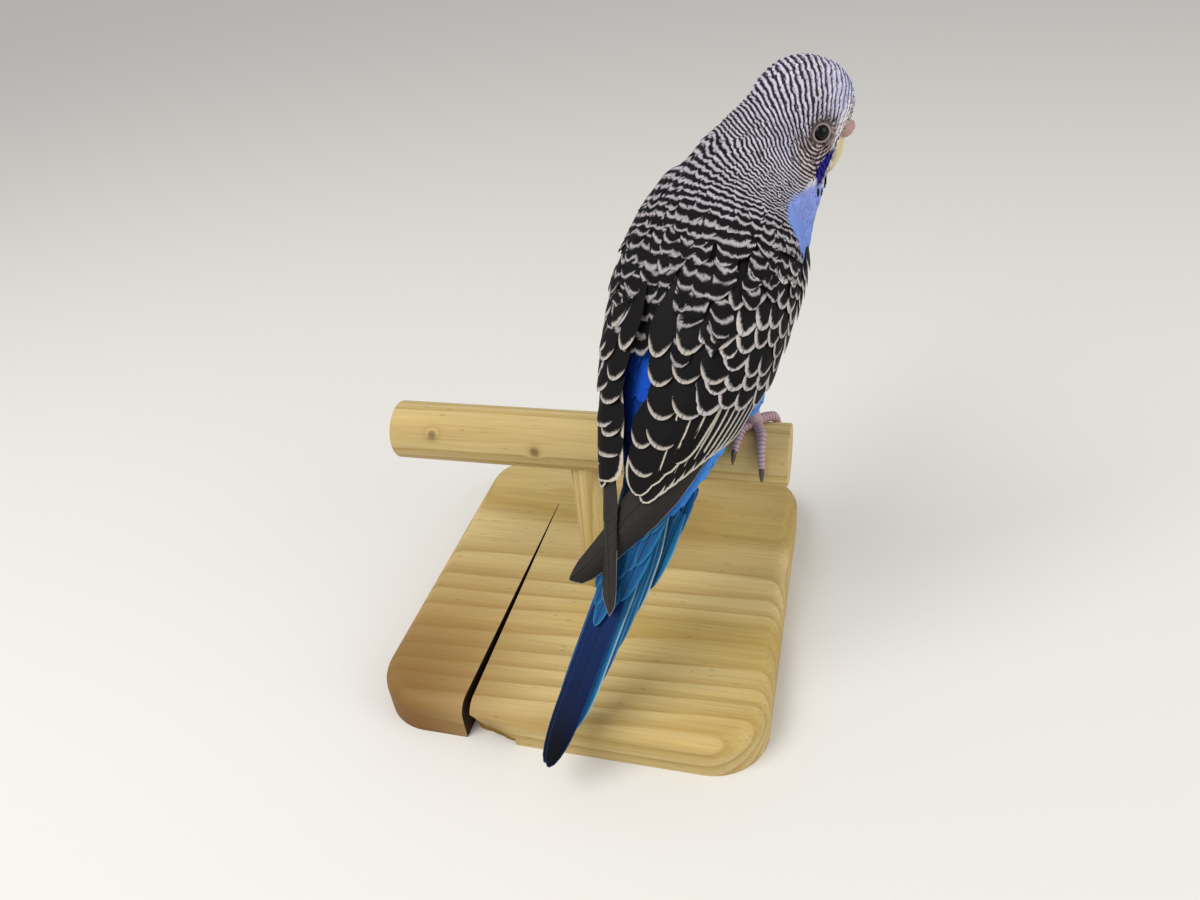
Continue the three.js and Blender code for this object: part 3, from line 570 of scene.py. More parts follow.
def rise(x, low, high):
    """0 below the lower end, 1 above the upper end, smooth between; works downwards too."""
    t = np.clip((np.asarray(x, float) - low) / (high - low), 0, 1)
    return t * t * (3 - 2 * t)


def lead_of(points):
    """How far in millimetres a place lies down the run of the feathers, from the eye back."""
    bird = to_bird(points)
    head = to_head(points)
    s, _, _ = trunk_place(bird)
    behind, above = EYE_AT[1] - head[:, 1], head[:, 2] - EYE_AT[2]
    upper = 20 * behind / (np.maximum(above, 0) + 20)
    lower = np.hypot(behind, above)
    fan = np.where(above > 0, upper, lower)
    w = rise(s, *HEAD_BLEND)
    return w * fan + (1 - w) * (TRUNK_LEAD - s)


# Directions and steepness, in radians to the millimetre, of the bars' slow waviness, and its height
SWAY_ONE, SWAY_TWO, SWAY = np.array([0.62, 0.2, -0.45]), np.array([-0.25, 0.55, 0.5]), 0.16


def wave_of(points):
    sway = np.sin(points @ SWAY_ONE + 0.7) * np.sin(points @ SWAY_TWO + 2.1)
    return np.interp(lead_of(points), pitch_steps, wave_steps) + SWAY * sway


def mix(a, b, w):
    return a * (1 - w[:, None]) + b * w[:, None]


def ink(code):
    return np.array(linear(code)[:3])


def shades(run, x):
    """Colours in linear light along a run of (stop, code)."""
    stops, codes = zip(*run)
    table = np.array([ink(code) for code in codes])
    return np.stack([np.interp(x, stops, table[:, i]) for i in range(3)], -1)


# Height and turn from the front of the throat's spots, and of the cheek patches, with radii
THROAT_SPOTS = [(-15.9, 14, 0.5), (-15.8, 38, 0.5), (-15.4, 62, 0.45), (-14.2, 80, 0.6)]
CHEEK_PATCH = [(-7.9, 50, 1.3), (-9.1, 58, 2.1), (-10.4, 68, 2.6), (-11.2, 77, 2.3), (-11.8, 84, 1.7)]


def on_face(spots):
    """Spots given by height and turn from the front, set on the skin of the head's right side."""
    placed = []
    for z, turn, radius in spots:
        aim = np.array([[14 * math.sin(math.radians(turn)), 12 * math.cos(math.radians(turn)), z]])
        nearest = skin_bvh.find_nearest(Vector(from_head(aim)[0]))[0]
        placed.append((*to_head(np.array([nearest]))[0], radius))
    return placed


throat_spots, cheek_patch = on_face(THROAT_SPOTS), on_face(CHEEK_PATCH)


VIOLET, SPOT_BLACK = "#17136a", "#0b0910"
# Colours of belly and flanks, and of rump and back, by length up the body
UNDER_BLUES = [
    (-8, "#2b6fb8"), (10, "#3f82c8"), (45, "#5585cc"), (75, "#7288c8"), (92, "#8792cc"), (100, "#989fd0")
]
RUMP_BLUES = [(-8, "#0e2c74"), (10, "#11409c"), (30, "#1549ad"), (50, "#1549ad")]
# Colours of the bars, and the pale bars' share, by how far they are behind the eye
BAR_DARKS = [(0, "#332d3a"), (10, "#241f29"), (22, "#161418"), (40, "#100e10")]
BAR_PALES = [(0, "#c0bbc8"), (12, "#b4afbb"), (25, "#a6a1a9"), (45, "#9c9697")]
BAR_SHARES = [(0, 0.5), (15, 0.46), (24, 0.44), (34, 0.36), (45, 0.26), (60, 0.2)]
# How far round from the back the bars reach: on the skin, and on the mantle's right and left
NAPE_SIDE = [(60, 74), (72, 72), (84, 70)]
CLOAK_RIGHT = [(60, 110), (66, 92), (69, 77), (73, 66), (77, 64), (82, 68), (87, 86)]
CLOAK_LEFT = [(60, 116), (66, 108), (70, 98), (76, 86), (82, 78), (87, 76)]
# The mask's rear border: how far forward it is at each height in the head's own frame
MASK_LINE = [
    (-16, -8.5), (-14, -6), (-12.5, -3.6), (-11.5, -1.8), (-10.5, 1.4), (-8.9, 4.6),
    (-7, 5.4), (-2, 5.6), (2, 6.6), (5, 8.4), (8, 9.4), (12.6, 9.6),
]
MASK_LOW = -16.8


def from_eye(head):
    """How far places in the head's frame are from the eye on their side."""
    return np.linalg.norm(np.abs(head) * [1, 0, 0] + head * [0, 1, 1] - EYE_AT, axis=1)


def round_from_back(x, d):
    """Degrees round the body from the middle of the back."""
    return np.degrees(np.abs(np.arctan2(x, d)))


def plumage(points, cloaked=False):
    """Dark and pale colour, and the pale share, of the contour feathers at world places. The
    mantle's own feathers keep its markings to their tips."""
    bird = to_bird(points)
    head = to_head(points)
    s, x, d = trunk_place(bird)
    round_back = round_from_back(x, d)
    on_head = rise(s, 76, 90)
    on_rump = rise(round_back, 98, 66) * rise(s, 66, 52)
    dark = mix(shades(UNDER_BLUES, s), shades(RUMP_BLUES, s), on_rump)
    pale = dark * 1.09
    share = np.full(len(points), 0.3)
    # Mantle and nape
    side = read_off(NAPE_SIDE, s)
    mantle = rise(s, MANTLE_END - 3, MANTLE_END + 3) * rise(round_back, side + 4, side - 4)
    if cloaked:
        border = np.where(x > 0, read_off(CLOAK_RIGHT, s), read_off(CLOAK_LEFT, s))
        mantle = rise(round_back, border + 3, border - 3)
    # Head, behind the line of the mask
    ahead_of_mask = head[:, 1] - read_off(MASK_LINE, head[:, 2])
    barred = mantle * (1 - on_head) + on_head * rise(ahead_of_mask, 0.7, -0.7)
    lead = lead_of(points)
    bar_dark, bar_pale = shades(BAR_DARKS, lead), shades(BAR_PALES, lead)
    bar_share = read_off(BAR_SHARES, lead)
    cheek = on_head * rise(head[:, 2], -1, -4) * rise(head[:, 1], -7, -2)
    bar_pale = mix(bar_pale, ink("#b7a6a0"), cheek)
    forehead = rise(head[:, 1], 0, 8) * rise(head[:, 2], 0.5, 4)
    bar_pale = mix(bar_pale, ink("#bfbdd4"), forehead)
    bar_dark = mix(bar_dark, ink("#6b6780"), forehead * 0.7)
    bar_share = bar_share + forehead * 0.3
    round_eye = rise(from_eye(head), 4.0, 3.0) * 0.85
    before_eye = np.linalg.norm(head[:, 1:] - [4.8, -2.6], axis=1)
    round_eye = np.maximum(round_eye, rise(before_eye, 3.2, 2.0)) * on_head
    bar_dark, bar_pale = mix(bar_dark, ink("#a39590"), round_eye), mix(bar_pale, ink("#b6a8a4"), round_eye)
    dark = mix(dark, bar_dark, barred)
    pale = mix(pale, bar_pale, barred)
    share = share * (1 - barred) + bar_share * barred
    # White mask round the bill, with the violet cheek patch and the black throat spots
    front_turn = np.arctan2(head[:, 0], head[:, 1])
    mask_end = MASK_LOW + 2.5 * np.abs(front_turn) + 0.5 * np.cos(front_turn * 12)
    mask = on_head * rise(ahead_of_mask, -0.5, 0.8) * rise(head[:, 2] - mask_end, -0.7, 0.7)
    white = mix(ink("#ded8d2"), ink("#d4d2e4"), rise(head[:, 2], -1, 5))
    dark, pale = mix(dark, white, mask), mix(pale, white * 1.08, mask)
    for spot_x, spot_y, spot_z, radius in cheek_patch:
        apart = np.hypot(np.abs(head[:, 0]) - spot_x, head[:, 1] - spot_y)
        apart = np.hypot(apart, head[:, 2] - spot_z)
        inside = rise(apart, radius + 0.4, radius - 0.4)
        dark, pale = mix(dark, ink(VIOLET), inside), mix(pale, ink(VIOLET) * 1.3, inside)
    return dark, pale, share


def across_surface(normals):
    """Two unit directions along the surface at each place."""
    helper = np.where(np.abs(normals[:, 2:]) < 0.8, [[0, 0, 1.0]], [[1.0, 0, 0]])
    one = unit(np.cross(normals, helper))
    return one, np.cross(normals, one)


SLOPE_STEP = 0.4


def lie_of(points, normals):
    """The way the contour feathers point, along the surface."""
    steps = [way * SLOPE_STEP for way in across_surface(normals)]
    slope = sum((lead_of(points + step) - lead_of(points - step))[:, None] * step for step in steps)
    down_run = unit(slope)
    head = to_head(points)
    from_bill = unit((head - BILL_AT) @ HEAD_TURNED.T)
    bird = to_bird(points)
    s, x, d = trunk_place(bird)
    face = rise(head[:, 1], -3, 4) * rise(s, 74, 88)
    way = mix(down_run, from_bill, face)
    mirror = np.sign(bird[:, :1]) * [1, 0, 0] + [0, 1, 1]
    hip, ankle = mirror * HIP, mirror * ANKLE
    bone = ankle - hip
    along = ((bird - hip) * bone).sum(1) / (bone**2).sum(1)
    apart = np.linalg.norm(bird - hip - np.clip(along, 0, 1.2)[:, None] * bone, axis=1)
    thigh = rise(apart, 10, 8.5) * rise(bird[:, 2], 25, 20) * rise(-d, 5, 9)
    way = mix(way, unit(bone) @ BIRD_TURN.T, thigh)
    return unit(way - normals * (way * normals).sum(1, keepdims=True))


# Contour feathers: small thin vanes of fine barbs that lie along the skin in rows, each over the
# roots of the next, smallest on the face. They are real mesh, joined into one coat per region.
GRID_ACROSS = np.array([-1.0, -0.55, 0, 0.55, 1.0])
GRID_ALONG = np.array([0, 0.3, 0.58, 0.82, 1.0])
CONTOUR = np.array([0.45, 0.95, 1.0, 0.84, 0.34])
ROOT_HEIGHT, TIP_HEIGHT, CLOAK_TIP, NAPE_SUNK = 0.15, 1.0, 0.8, 0.85
# How far the bars bend back at the vanes' sides, by how far the feather is behind the eye
CRESCENT = [(6, 0.055), (18, 0.275), (45, 0.55)]
FEATHER_LENGTHS = [(0, 2.9), (6, 3.3), (16, 4.8), (28, 7.0), (45, 9.0)]
FEATHER_WIDTHS = [(0, 1.7), (6, 1.9), (16, 2.7), (28, 4.2), (45, 5.6)]
LID_CLEAR, CERE_TOP, WING_CLEAR = 1.9, 9.0, 3.0


def scatter(points, faces, spacing_of, tries):
    """Seeded places on a mesh, at least a local spacing apart, and their normals."""
    corners = points[np.array([f[:3] for f in faces])]
    normal = np.cross(corners[:, 1] - corners[:, 0], corners[:, 2] - corners[:, 0])
    area = np.linalg.norm(normal, axis=1)
    pick = rng.choice(len(faces), tries, p=area / area.sum())
    r = rng.random((tries, 2))
    r = np.where(r.sum(1, keepdims=True) > 1, 1 - r, r)
    c = corners[pick]
    found = c[:, 0] + (c[:, 1] - c[:, 0]) * r[:, :1] + (c[:, 2] - c[:, 0]) * r[:, 1:]
    spacing = spacing_of(found)
    keep = rng.random(tries) < (np.nanmin(spacing) / spacing) ** 2
    keep &= np.isfinite(spacing)
    found, spacing, normals = found[keep], spacing[keep], unit(normal[pick])[keep]
    kept = np.zeros((len(found), 3))
    chosen = []
    for i in range(len(found)):
        n = len(chosen)
        if n and (((kept[:n] - found[i]) ** 2).sum(1) < spacing[i] ** 2).any():
            continue
        kept[n] = found[i]
        chosen.append(i)
    return found[chosen], normals[chosen]


def barb_streaks(tree, chance, fineness):
    """How far a place is beside its feather's shaft, in mm, and streaks 0.12 mm apart that slant
    from the shaft as barbs do, other ones on each feather."""
    place = add(tree, "SeparateXYZ", (add(tree, "UVMap", uv_map="Barb"),))
    beside = add(tree, "Math", (place.outputs["X"],), operation="ABSOLUTE")
    slant = add(tree, "Math", (beside, -1.15, place.outputs["Y"]), operation="MULTIPLY_ADD")
    stretched = add(tree, "Math", (beside, fineness), operation="MULTIPLY")
    own = add(tree, "Math", (chance, 91.0), operation="MULTIPLY")
    barb = add(tree, "CombineXYZ", (slant, stretched, own))
    streaks = add(tree, "TexNoise", {"Vector": barb, "Scale": 4.2, "Detail": 2.0, "Roughness": 0.6})
    return beside, streaks, add(tree, "Math", (streaks, -0.5), operation="ADD")


BAND_SOFT, BAND_RAGGED = 0.095, 0.42


def plumage_finish(name, roughness):
    """Soft vanes: a dark and a pale colour that each feather carries, the pale in bands."""
    made, tree, gloss = finish_of(name, Roughness=roughness, Specular_IOR_Level=0.1)
    dark, pale = (add(tree, "Attribute", attribute_name=key) for key in ("dark", "pale"))
    keys = ("wave", "share", "chance")
    wave, share, chance = (add(tree, "Attribute", attribute_name=key).outputs["Fac"] for key in keys)
    _, streaks, uneven = barb_streaks(tree, chance, 0.12)
    bent = add(tree, "Math", (uneven, BAND_RAGGED, wave), operation="MULTIPLY_ADD")
    half = add(tree, "Math", (share, 0.5), operation="MULTIPLY")
    centred = add(tree, "Math", (bent, half), operation="ADD")
    off = add(tree, "Math", (centred, 0.5), operation="PINGPONG")
    outer, inner = (add(tree, "Math", (half, soft), operation="ADD") for soft in (BAND_SOFT, -BAND_SOFT))
    band = add(tree, "MapRange", (off, outer, inner, 0.0, 1.0), interpolation_type="SMOOTHSTEP")
    colour = add(tree, "Mix", {0: band, 6: dark, 7: pale}, data_type="RGBA")
    lift = add(tree, "MapRange", (streaks, 0.25, 0.75, 0.78, 1.2))
    tone = add(tree, "MapRange", (chance, 0.0, 1.0, 0.9, 1.1))
    both = add(tree, "Math", (lift, tone), operation="MULTIPLY")
    shaded = add(tree, "VectorMath", {0: colour, "Scale": both}, operation="SCALE")
    tree.links.new(shaded.outputs["Vector"], gloss.inputs["Base Color"])
    ridged = add(tree, "Bump", {"Height": streaks, "Strength": 0.25, "Distance": 0.08 * MM})
    tree.links.new(ridged.outputs["Normal"], gloss.inputs["Normal"])
    return made


def grid_faces(count, rows, columns):
    """Faces of many grids of points, each rows by columns, one after the other."""
    first = (np.arange(rows - 1)[:, None] * columns + np.arange(columns - 1)[None]).reshape(-1)
    quads = np.stack([first, first + 1, first + columns + 1, first + columns], -1)
    return (quads[None] + (np.arange(count) * rows * columns)[:, None, None]).reshape(-1, 4)


def feathered(name, finish, points, data, barb, bake):
    """One object from grids of feathers (feather, row, column, xyz) with their painted data."""
    count, rows, columns, _ = points.shape
    faces = grid_faces(count, rows, columns)
    made = mesh_of(name, points.reshape(-1, 3), faces.tolist(), finish)
    mesh = made.data
    size = (count, rows, columns)
    for key, value in data.items():
        if value.ndim == 4:
            filled = np.concatenate([value, np.ones(value.shape[:3] + (1,))], -1)
            layer = mesh.attributes.new(key, "FLOAT_COLOR", "POINT")
            layer.data.foreach_set("color", filled.reshape(-1).astype(np.float32))
        else:
            layer = mesh.attributes.new(key, "FLOAT", "POINT")
            layer.data.foreach_set("value", np.broadcast_to(value, size).reshape(-1).astype(np.float32))
    for key, value in (("Barb", barb), ("OFBake", bake)):
        if value is not None:
            layer = mesh.uv_layers.new(name=key)
            per_corner = value.reshape(-1, 2)[faces.reshape(-1)]
            layer.data.foreach_set("uv", per_corner.reshape(-1).astype(np.float32))
    mesh.shade_smooth()
    return made


BAKE_PATCH = 0.003


def bake_patch(root_uv, rows, columns):
    """Each feather's own small patch at its root's place on the unwrap of the skin."""
    up, over = np.meshgrid(np.linspace(-0.5, 0.5, rows), np.linspace(-0.5, 0.5, columns), indexing="ij")
    return root_uv[:, None, None] + np.stack([over, up], -1)[None] * BAKE_PATCH


def drape(bvh, wanted, heights):
    """Points moved onto a surface, then lifted off it by their heights."""
    flat = wanted.reshape(-1, 3)
    found = [bvh.find_nearest(p) for p in flat.tolist()]
    at = np.array([f[0] for f in found])
    normal = np.array([f[1] for f in found])
    return (at + normal * heights.reshape(-1, 1)).reshape(wanted.shape)


def contour_coat(name, slot, finish, form, roots, normals, unwrap, cloaked=False, lifted=0.0, tint=None):
    """The contour feathers that grow from these roots, draped on a form."""
    lead = lead_of(roots)
    size = feather_size(roots) * (0.5 if tint else 1)
    way = lie_of(roots, normals)
    if not tint:
        # Tips gather into rows, so that the pale tips of neighbours make one bar
        tip_wave = wave_of(roots + way * size[:, :1])
        shift = (np.round(tip_wave) - tip_wave) * read_off(BAR_PITCH, lead)
        roots = roots + way * np.clip(shift, -0.45 * size[:, 0], 0.45 * size[:, 0])[:, None]
    clear = from_eye(to_head(roots + way * size[:, :1])) > LID_CLEAR + 0.5
    roots, normals, way, size, lead = (each[clear] for each in (roots, normals, way, size, lead))
    head = to_head(roots)
    side = np.cross(normals, way)
    u, v = np.meshgrid(GRID_ACROSS, GRID_ALONG)
    profile = np.broadcast_to(CONTOUR[:, None], u.shape)
    reach = size[:, 0, None, None] * v
    breadth = size[:, 1, None, None] / 2 * profile * u
    wanted = roots[:, None, None] + way[:, None, None] * reach[..., None]
    wanted = wanted + side[:, None, None] * breadth[..., None]
    s, x, d = trunk_place(to_bird(roots))
    round_back = round_from_back(x, d)
    cloak_tip = CLOAK_TIP - 0.25 * rise(round_back, 40, 60) - 0.22 * rise(round_back, 68, 84)
    skin_tip = TIP_HEIGHT - 0.3 * rise(round_back, 85, 105) * rise(s, 92, 84)
    tip_height = cloak_tip if cloaked else skin_tip
    high = ROOT_HEIGHT + (tip_height[:, None, None] - ROOT_HEIGHT) * v**1.1 - 0.22 * (u**2) * v
    heights = high + rng.normal(0, 0.05, (len(roots), 1, 1)) * v
    if cloaked:
        nape, throat = rise(s, 70, 87), rise(round_back, 82, 104)
        heights = heights - (NAPE_SUNK * nape * (1 - 0.35 * throat))[:, None, None]
    on_face = rise(head[:, 1], 2, 7) * rise(head[:, 2], -17, -14)
    heights = lifted + heights * (1 - 0.35 * on_face)[:, None, None]
    points = drape(form, wanted, heights)
    flat = points.reshape(-1, 3)
    dark, pale, share = plumage(flat, cloaked)
    if tint:
        dark = pale = np.broadcast_to(ink(tint), dark.shape)
    grid = points.shape[:3]
    wave = wave_of(flat).reshape(grid) + rng.normal(0, 0.08, (len(roots), 1, 1))
    wave = wave + (profile * u) ** 2 * read_off(CRESCENT, lead)[:, None, None]
    data = {
        "dark": dark.reshape(grid + (3,)),
        "pale": pale.reshape(grid + (3,)),
        "wave": wave,
        "share": share.reshape(grid),
        "chance": rng.random((len(roots), 1, 1)),
    }
    barb = np.stack([breadth, reach], -1)
    bake = bake_patch(unwrap(roots), *u.shape)
    return dress(feathered(name, finish, points, data, barb, bake), slot)


def feather_size(points):
    """Length and width of the contour feathers that grow at world places."""
    lead = lead_of(points)
    head = to_head(points)
    s, x, d = trunk_place(to_bird(points))
    on_head = rise(s, 76, 90)
    size = np.stack([read_off(FEATHER_LENGTHS, lead), read_off(FEATHER_WIDTHS, lead)], -1)
    round_back = round_from_back(x, d)
    below = rise(round_back, 85, 110) * (1 - on_head)
    throat = on_head * rise(head[:, 1], -2, 4) * rise(head[:, 2], -8, -13)
    near_eye = np.maximum(rise(from_eye(head), 6.5, 4.2) * on_head, on_head * rise(head[:, 1], 7, 10))
    shoulder = rise(round_back, 40, 60) * rise(s, 44, 56) * (1 - on_head)
    thigh = rise(to_bird(points)[:, 2], 24, 18) * rise(-d, 6, 10)
    size = mix(size * (1 - below[:, None] * [0.28, 0.3]), np.array([4.2, 2.7]), throat)
    for where, cut in ((near_eye, [0.36, 0.3]), (shoulder, [0.45, 0.4]), (thigh, [0.35, 0.35])):
        size = size * (1 - where[:, None] * cut)
    return size


WINGS = ("wing_left", "wing_right")
wing_trees = [tree_of(*arrays_of(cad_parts[node_name])) for node_name in WINGS]


def bare_or_hidden(points, normals):
    """Which places grow no feathers: eyelids, cere and bill, ankles, and what the wings cover."""
    head = to_head(points)
    bare = (from_eye(head) < LID_CLEAR + 0.6) & (np.abs(head[:, 0]) > 5)
    bare |= (head[:, 1] > CERE_TOP) & (np.abs(head[:, 0]) < 3.8) & (head[:, 2] < -1.8) & (head[:, 2] > -9.5)
    bare |= to_bird(points)[:, 2] < -20
    for i, (p, n) in enumerate(zip(points.tolist(), normals.tolist())):
        if not bare[i]:
            outward = Vector(n)
            for tree in wing_trees:
                hit = tree.ray_cast(Vector(p) + outward * 0.2, outward, 7.0)
                if hit[0] is not None:
                    bare[i] = hit[3] > WING_CLEAR
    return bare


# Lower border of the mantle: degrees round from the back, and length up the body
MANTLE_FROM = [
    (0, 41), (30, 43), (42, 49), (50, 56), (60, 61), (71, 64), (84, 66), (98, 69), (110, 84), (180, 99)
]
CLOAK_SWELL, CLOAK_VOXEL, CLOAK_RAISE = 0.4, 0.9, 0.35
NAPE_END = 91


def past_mantle(points):
    """Millimetres up the body from the lower border of the mantle, which covers both shoulders."""
    s, x, d = trunk_place(to_bird(points))
    return s - read_off(MANTLE_FROM, round_from_back(x, d))


# The form that nape, back and shoulders make together, on which the mantle's feathers lie
cloak = piece_of("cloak_form", joined_solids(FLESH + WINGS))
reshape(cloak, "DISPLACE", strength=CLOAK_SWELL * MM, mid_level=0)
reshape(cloak, "REMESH", mode="VOXEL", voxel_size=CLOAK_VOXEL * MM)
reshape(cloak, "SMOOTH", iterations=80, factor=0.6)
reshape(cloak, "DISPLACE", strength=CLOAK_RAISE * MM, mid_level=0)
applied(cloak)
cloak_points, cloak_quads = arrays_of(cloak)
bpy.data.objects.remove(cloak)
high_enough = past_mantle(cloak_points) > -12
cloak_faces = []
for q in cloak_quads:
    if high_enough[q].all():
        cloak_faces += [q[:3], [q[0], q[2], q[3]]]
cloak_bvh = tree_of(cloak_points, cloak_faces)


def grown(points, faces, tries, wanted, skip, apart):
    """Roots and normals scattered on a form where feathers are wanted, so many widths apart."""
    at, normal = scatter(points, faces, lambda p: feather_size(p)[:, 1] * apart, tries)
    keep = wanted(at)
    at, normal = at[keep], normal[keep]
    keep = ~skip(at, normal)
    return at[keep], normal[keep]


def on_mantle(points, below=87):
    s, _, _ = trunk_place(to_bird(points))
    return (past_mantle(points) > -3) & (s < below)


roots, root_normals = grown(
    skin_points, skin_faces, 140000, lambda p: ~on_mantle(p), bare_or_hidden, 0.44
)
root_s = trunk_place(to_bird(roots))[0]
root_head = to_head(roots)
of_head = (root_s > 84) & (root_head[:, 2] > -17)


def head_unwrap(points):
    head = to_head(points)
    return np.stack([0.5 + np.arctan2(head[:, 0], -head[:, 1]) / (2 * math.pi), (head[:, 2] + 24) / 44], -1)


def trunk_unwrap(points):
    s, x, d = trunk_place(to_bird(points))
    return np.stack([0.5 + np.arctan2(x, d) / (2 * math.pi), np.clip((s + 22) / 130, 0.01, 0.99)], -1)


paint_skin()
soft_plumage = plumage_finish("soft contour feathers", 0.78)
for name, slot, here, unwrap in (
    ("head_feathers", "head_plumage", of_head, head_unwrap),
    ("body_feathers", "body_plumage", ~of_head, trunk_unwrap),
):
    contour_coat(name, slot, soft_plumage, skin_bvh, roots[here], root_normals[here], unwrap)


def skin_places(head_points):
    """The skin's nearest places to points of the head's frame, and their normals."""
    found = [skin_bvh.find_nearest(Vector(p)) for p in from_head(head_points).tolist()]
    return np.array([f[0] for f in found]), np.array([f[1] for f in found])


# Tiny feathers in rings close round each eyelid
RIM_RINGS, RIM_COUNT, RIM_LIFT = [1.95, 2.35, 2.8], 36, 0.45
rim_turns, rim_reach = np.meshgrid(np.linspace(0, 2 * math.pi, RIM_COUNT, endpoint=False), RIM_RINGS)
rim = np.stack([0 * rim_turns + 1.5, rim_reach * np.cos(rim_turns), rim_reach * np.sin(rim_turns)], -1)
rim = EYE_AT + rim.reshape(-1, 3)
for side, word in ((1, "right"), (-1, "left")):
    grow = skin_places(rim * [side, 1, 1])
    name = f"eye_rim_feathers_{word}"
    contour_coat(name, "head_plumage", soft_plumage, skin_bvh, *grow, head_unwrap, lifted=RIM_LIFT)
# The round black spots low on the mask, each of a few small feather tips
SPOT_RISE, SPOT_LIFT = 0.7, 0.55
spot_places = [
    (side * x, y + radius * math.sin(turn), z + radius * math.cos(turn) + SPOT_RISE)
    for x, y, z, radius in throat_spots
    for side in (1, -1)
    for turn in np.arange(0, 2 * math.pi, math.pi / 4)
]
grow = skin_places(spot_places)
spot = {"lifted": SPOT_LIFT, "tint": SPOT_BLACK}
contour_coat("throat_spots", "head_plumage", soft_plumage, skin_bvh, *grow, head_unwrap, **spot)
grow = grown(
    cloak_points, cloak_faces, 80000, lambda p: on_mantle(p, NAPE_END), lambda p, n: past_mantle(p) < -3, 0.45
)
contour_coat("mantle_feathers", "neck_plumage", soft_plumage, cloak_bvh, *grow, trunk_unwrap, cloaked=True)

# Wings: folded, each a curved sheet of overlapping feathers. Rows of small black coverts with
# whitish crescents, then larger coverts, tertials and secondaries with pale margins, and the long
# dark brown primaries with thin white edges.
# Edges and middle line of the sheet from the shoulder to the tip, as length, side and back
LOWER_EDGE = [
    (72, 19.2, -6), (54, 21, -4), (34, 20.6, -0.5), (16, 16, 2.8), (-2, 8.6, 5.6), (-17, -1, 7),
    (-30, -11, 6.8),
]
MIDDLE = [
    (80, 18.6, 8.5), (60, 20, 10.8), (38, 18, 11.4), (20, 13.2, 11.2), (2, 6.8, 10), (-15, -2.4, 8.6),
    (-29, -10.8, 7.4),
]
UPPER_EDGE = [
    (73, 9, 18.8), (55, 5.6, 19.4), (34, 4.4, 16.6), (17, 3, 13.4), (0, 0.6, 10.8), (-14, -4.4, 8.8),
    (-28, -10.7, 7.6),
]
BACK_SHIFT, SHOULDER_SHIFT = -2.8, -1.4
LEFT_LONGER, LEFT_INWARD, LEFT_HIGHER = 2.5, 4.5, 2.4


def wing_sheet(side):
    """The folded wing's surface: a runs from the shoulder to the tip, b from its lower to its
    upper edge. Side is 1 for the right wing and -1 for the left."""
    curves = []
    along = np.linspace(0, 1, len(LOWER_EDGE))
    reach = along**3 if side < 0 else along * 0
    shifts = (along * 0, SHOULDER_SHIFT * (1 - along) ** 2, BACK_SHIFT * np.sin(np.pi * along**0.7))
    for edge, shift in zip((LOWER_EDGE, MIDDLE, UPPER_EDGE), shifts):
        s, x, d = np.array(edge, float).T
        sideways = side * (x + LEFT_INWARD * reach) + shift
        curves.append(along_axis(s - LEFT_LONGER * reach, sideways, d + LEFT_HIGHER * np.sqrt(reach)))

    def at(a, b):
        low, middle, up = (smooth_curve(curve, a) for curve in curves)
        b = np.asarray(b)[..., None]
        return 2 * (b - 0.5) * (b - 1) * low + 4 * b * (1 - b) * middle + 2 * b * (b - 0.5) * up

    return at


def tangents(at, a, b):
    """Directions along and across a sheet at places on it, per unit of a and of b."""
    step = 0.01
    back = np.minimum(a, 1 - step)
    on, before = back + step, np.maximum(back - step, 0)
    by_a = (at(on, b) - at(before, b)) / (on - before)[..., None]
    return by_a, (at(a, b + step) - at(a, b - step)) / (2 * step)


VANE_ACROSS = np.array([-1.0, -0.8, -0.45, 0, 0.45, 0.8, 1.0])


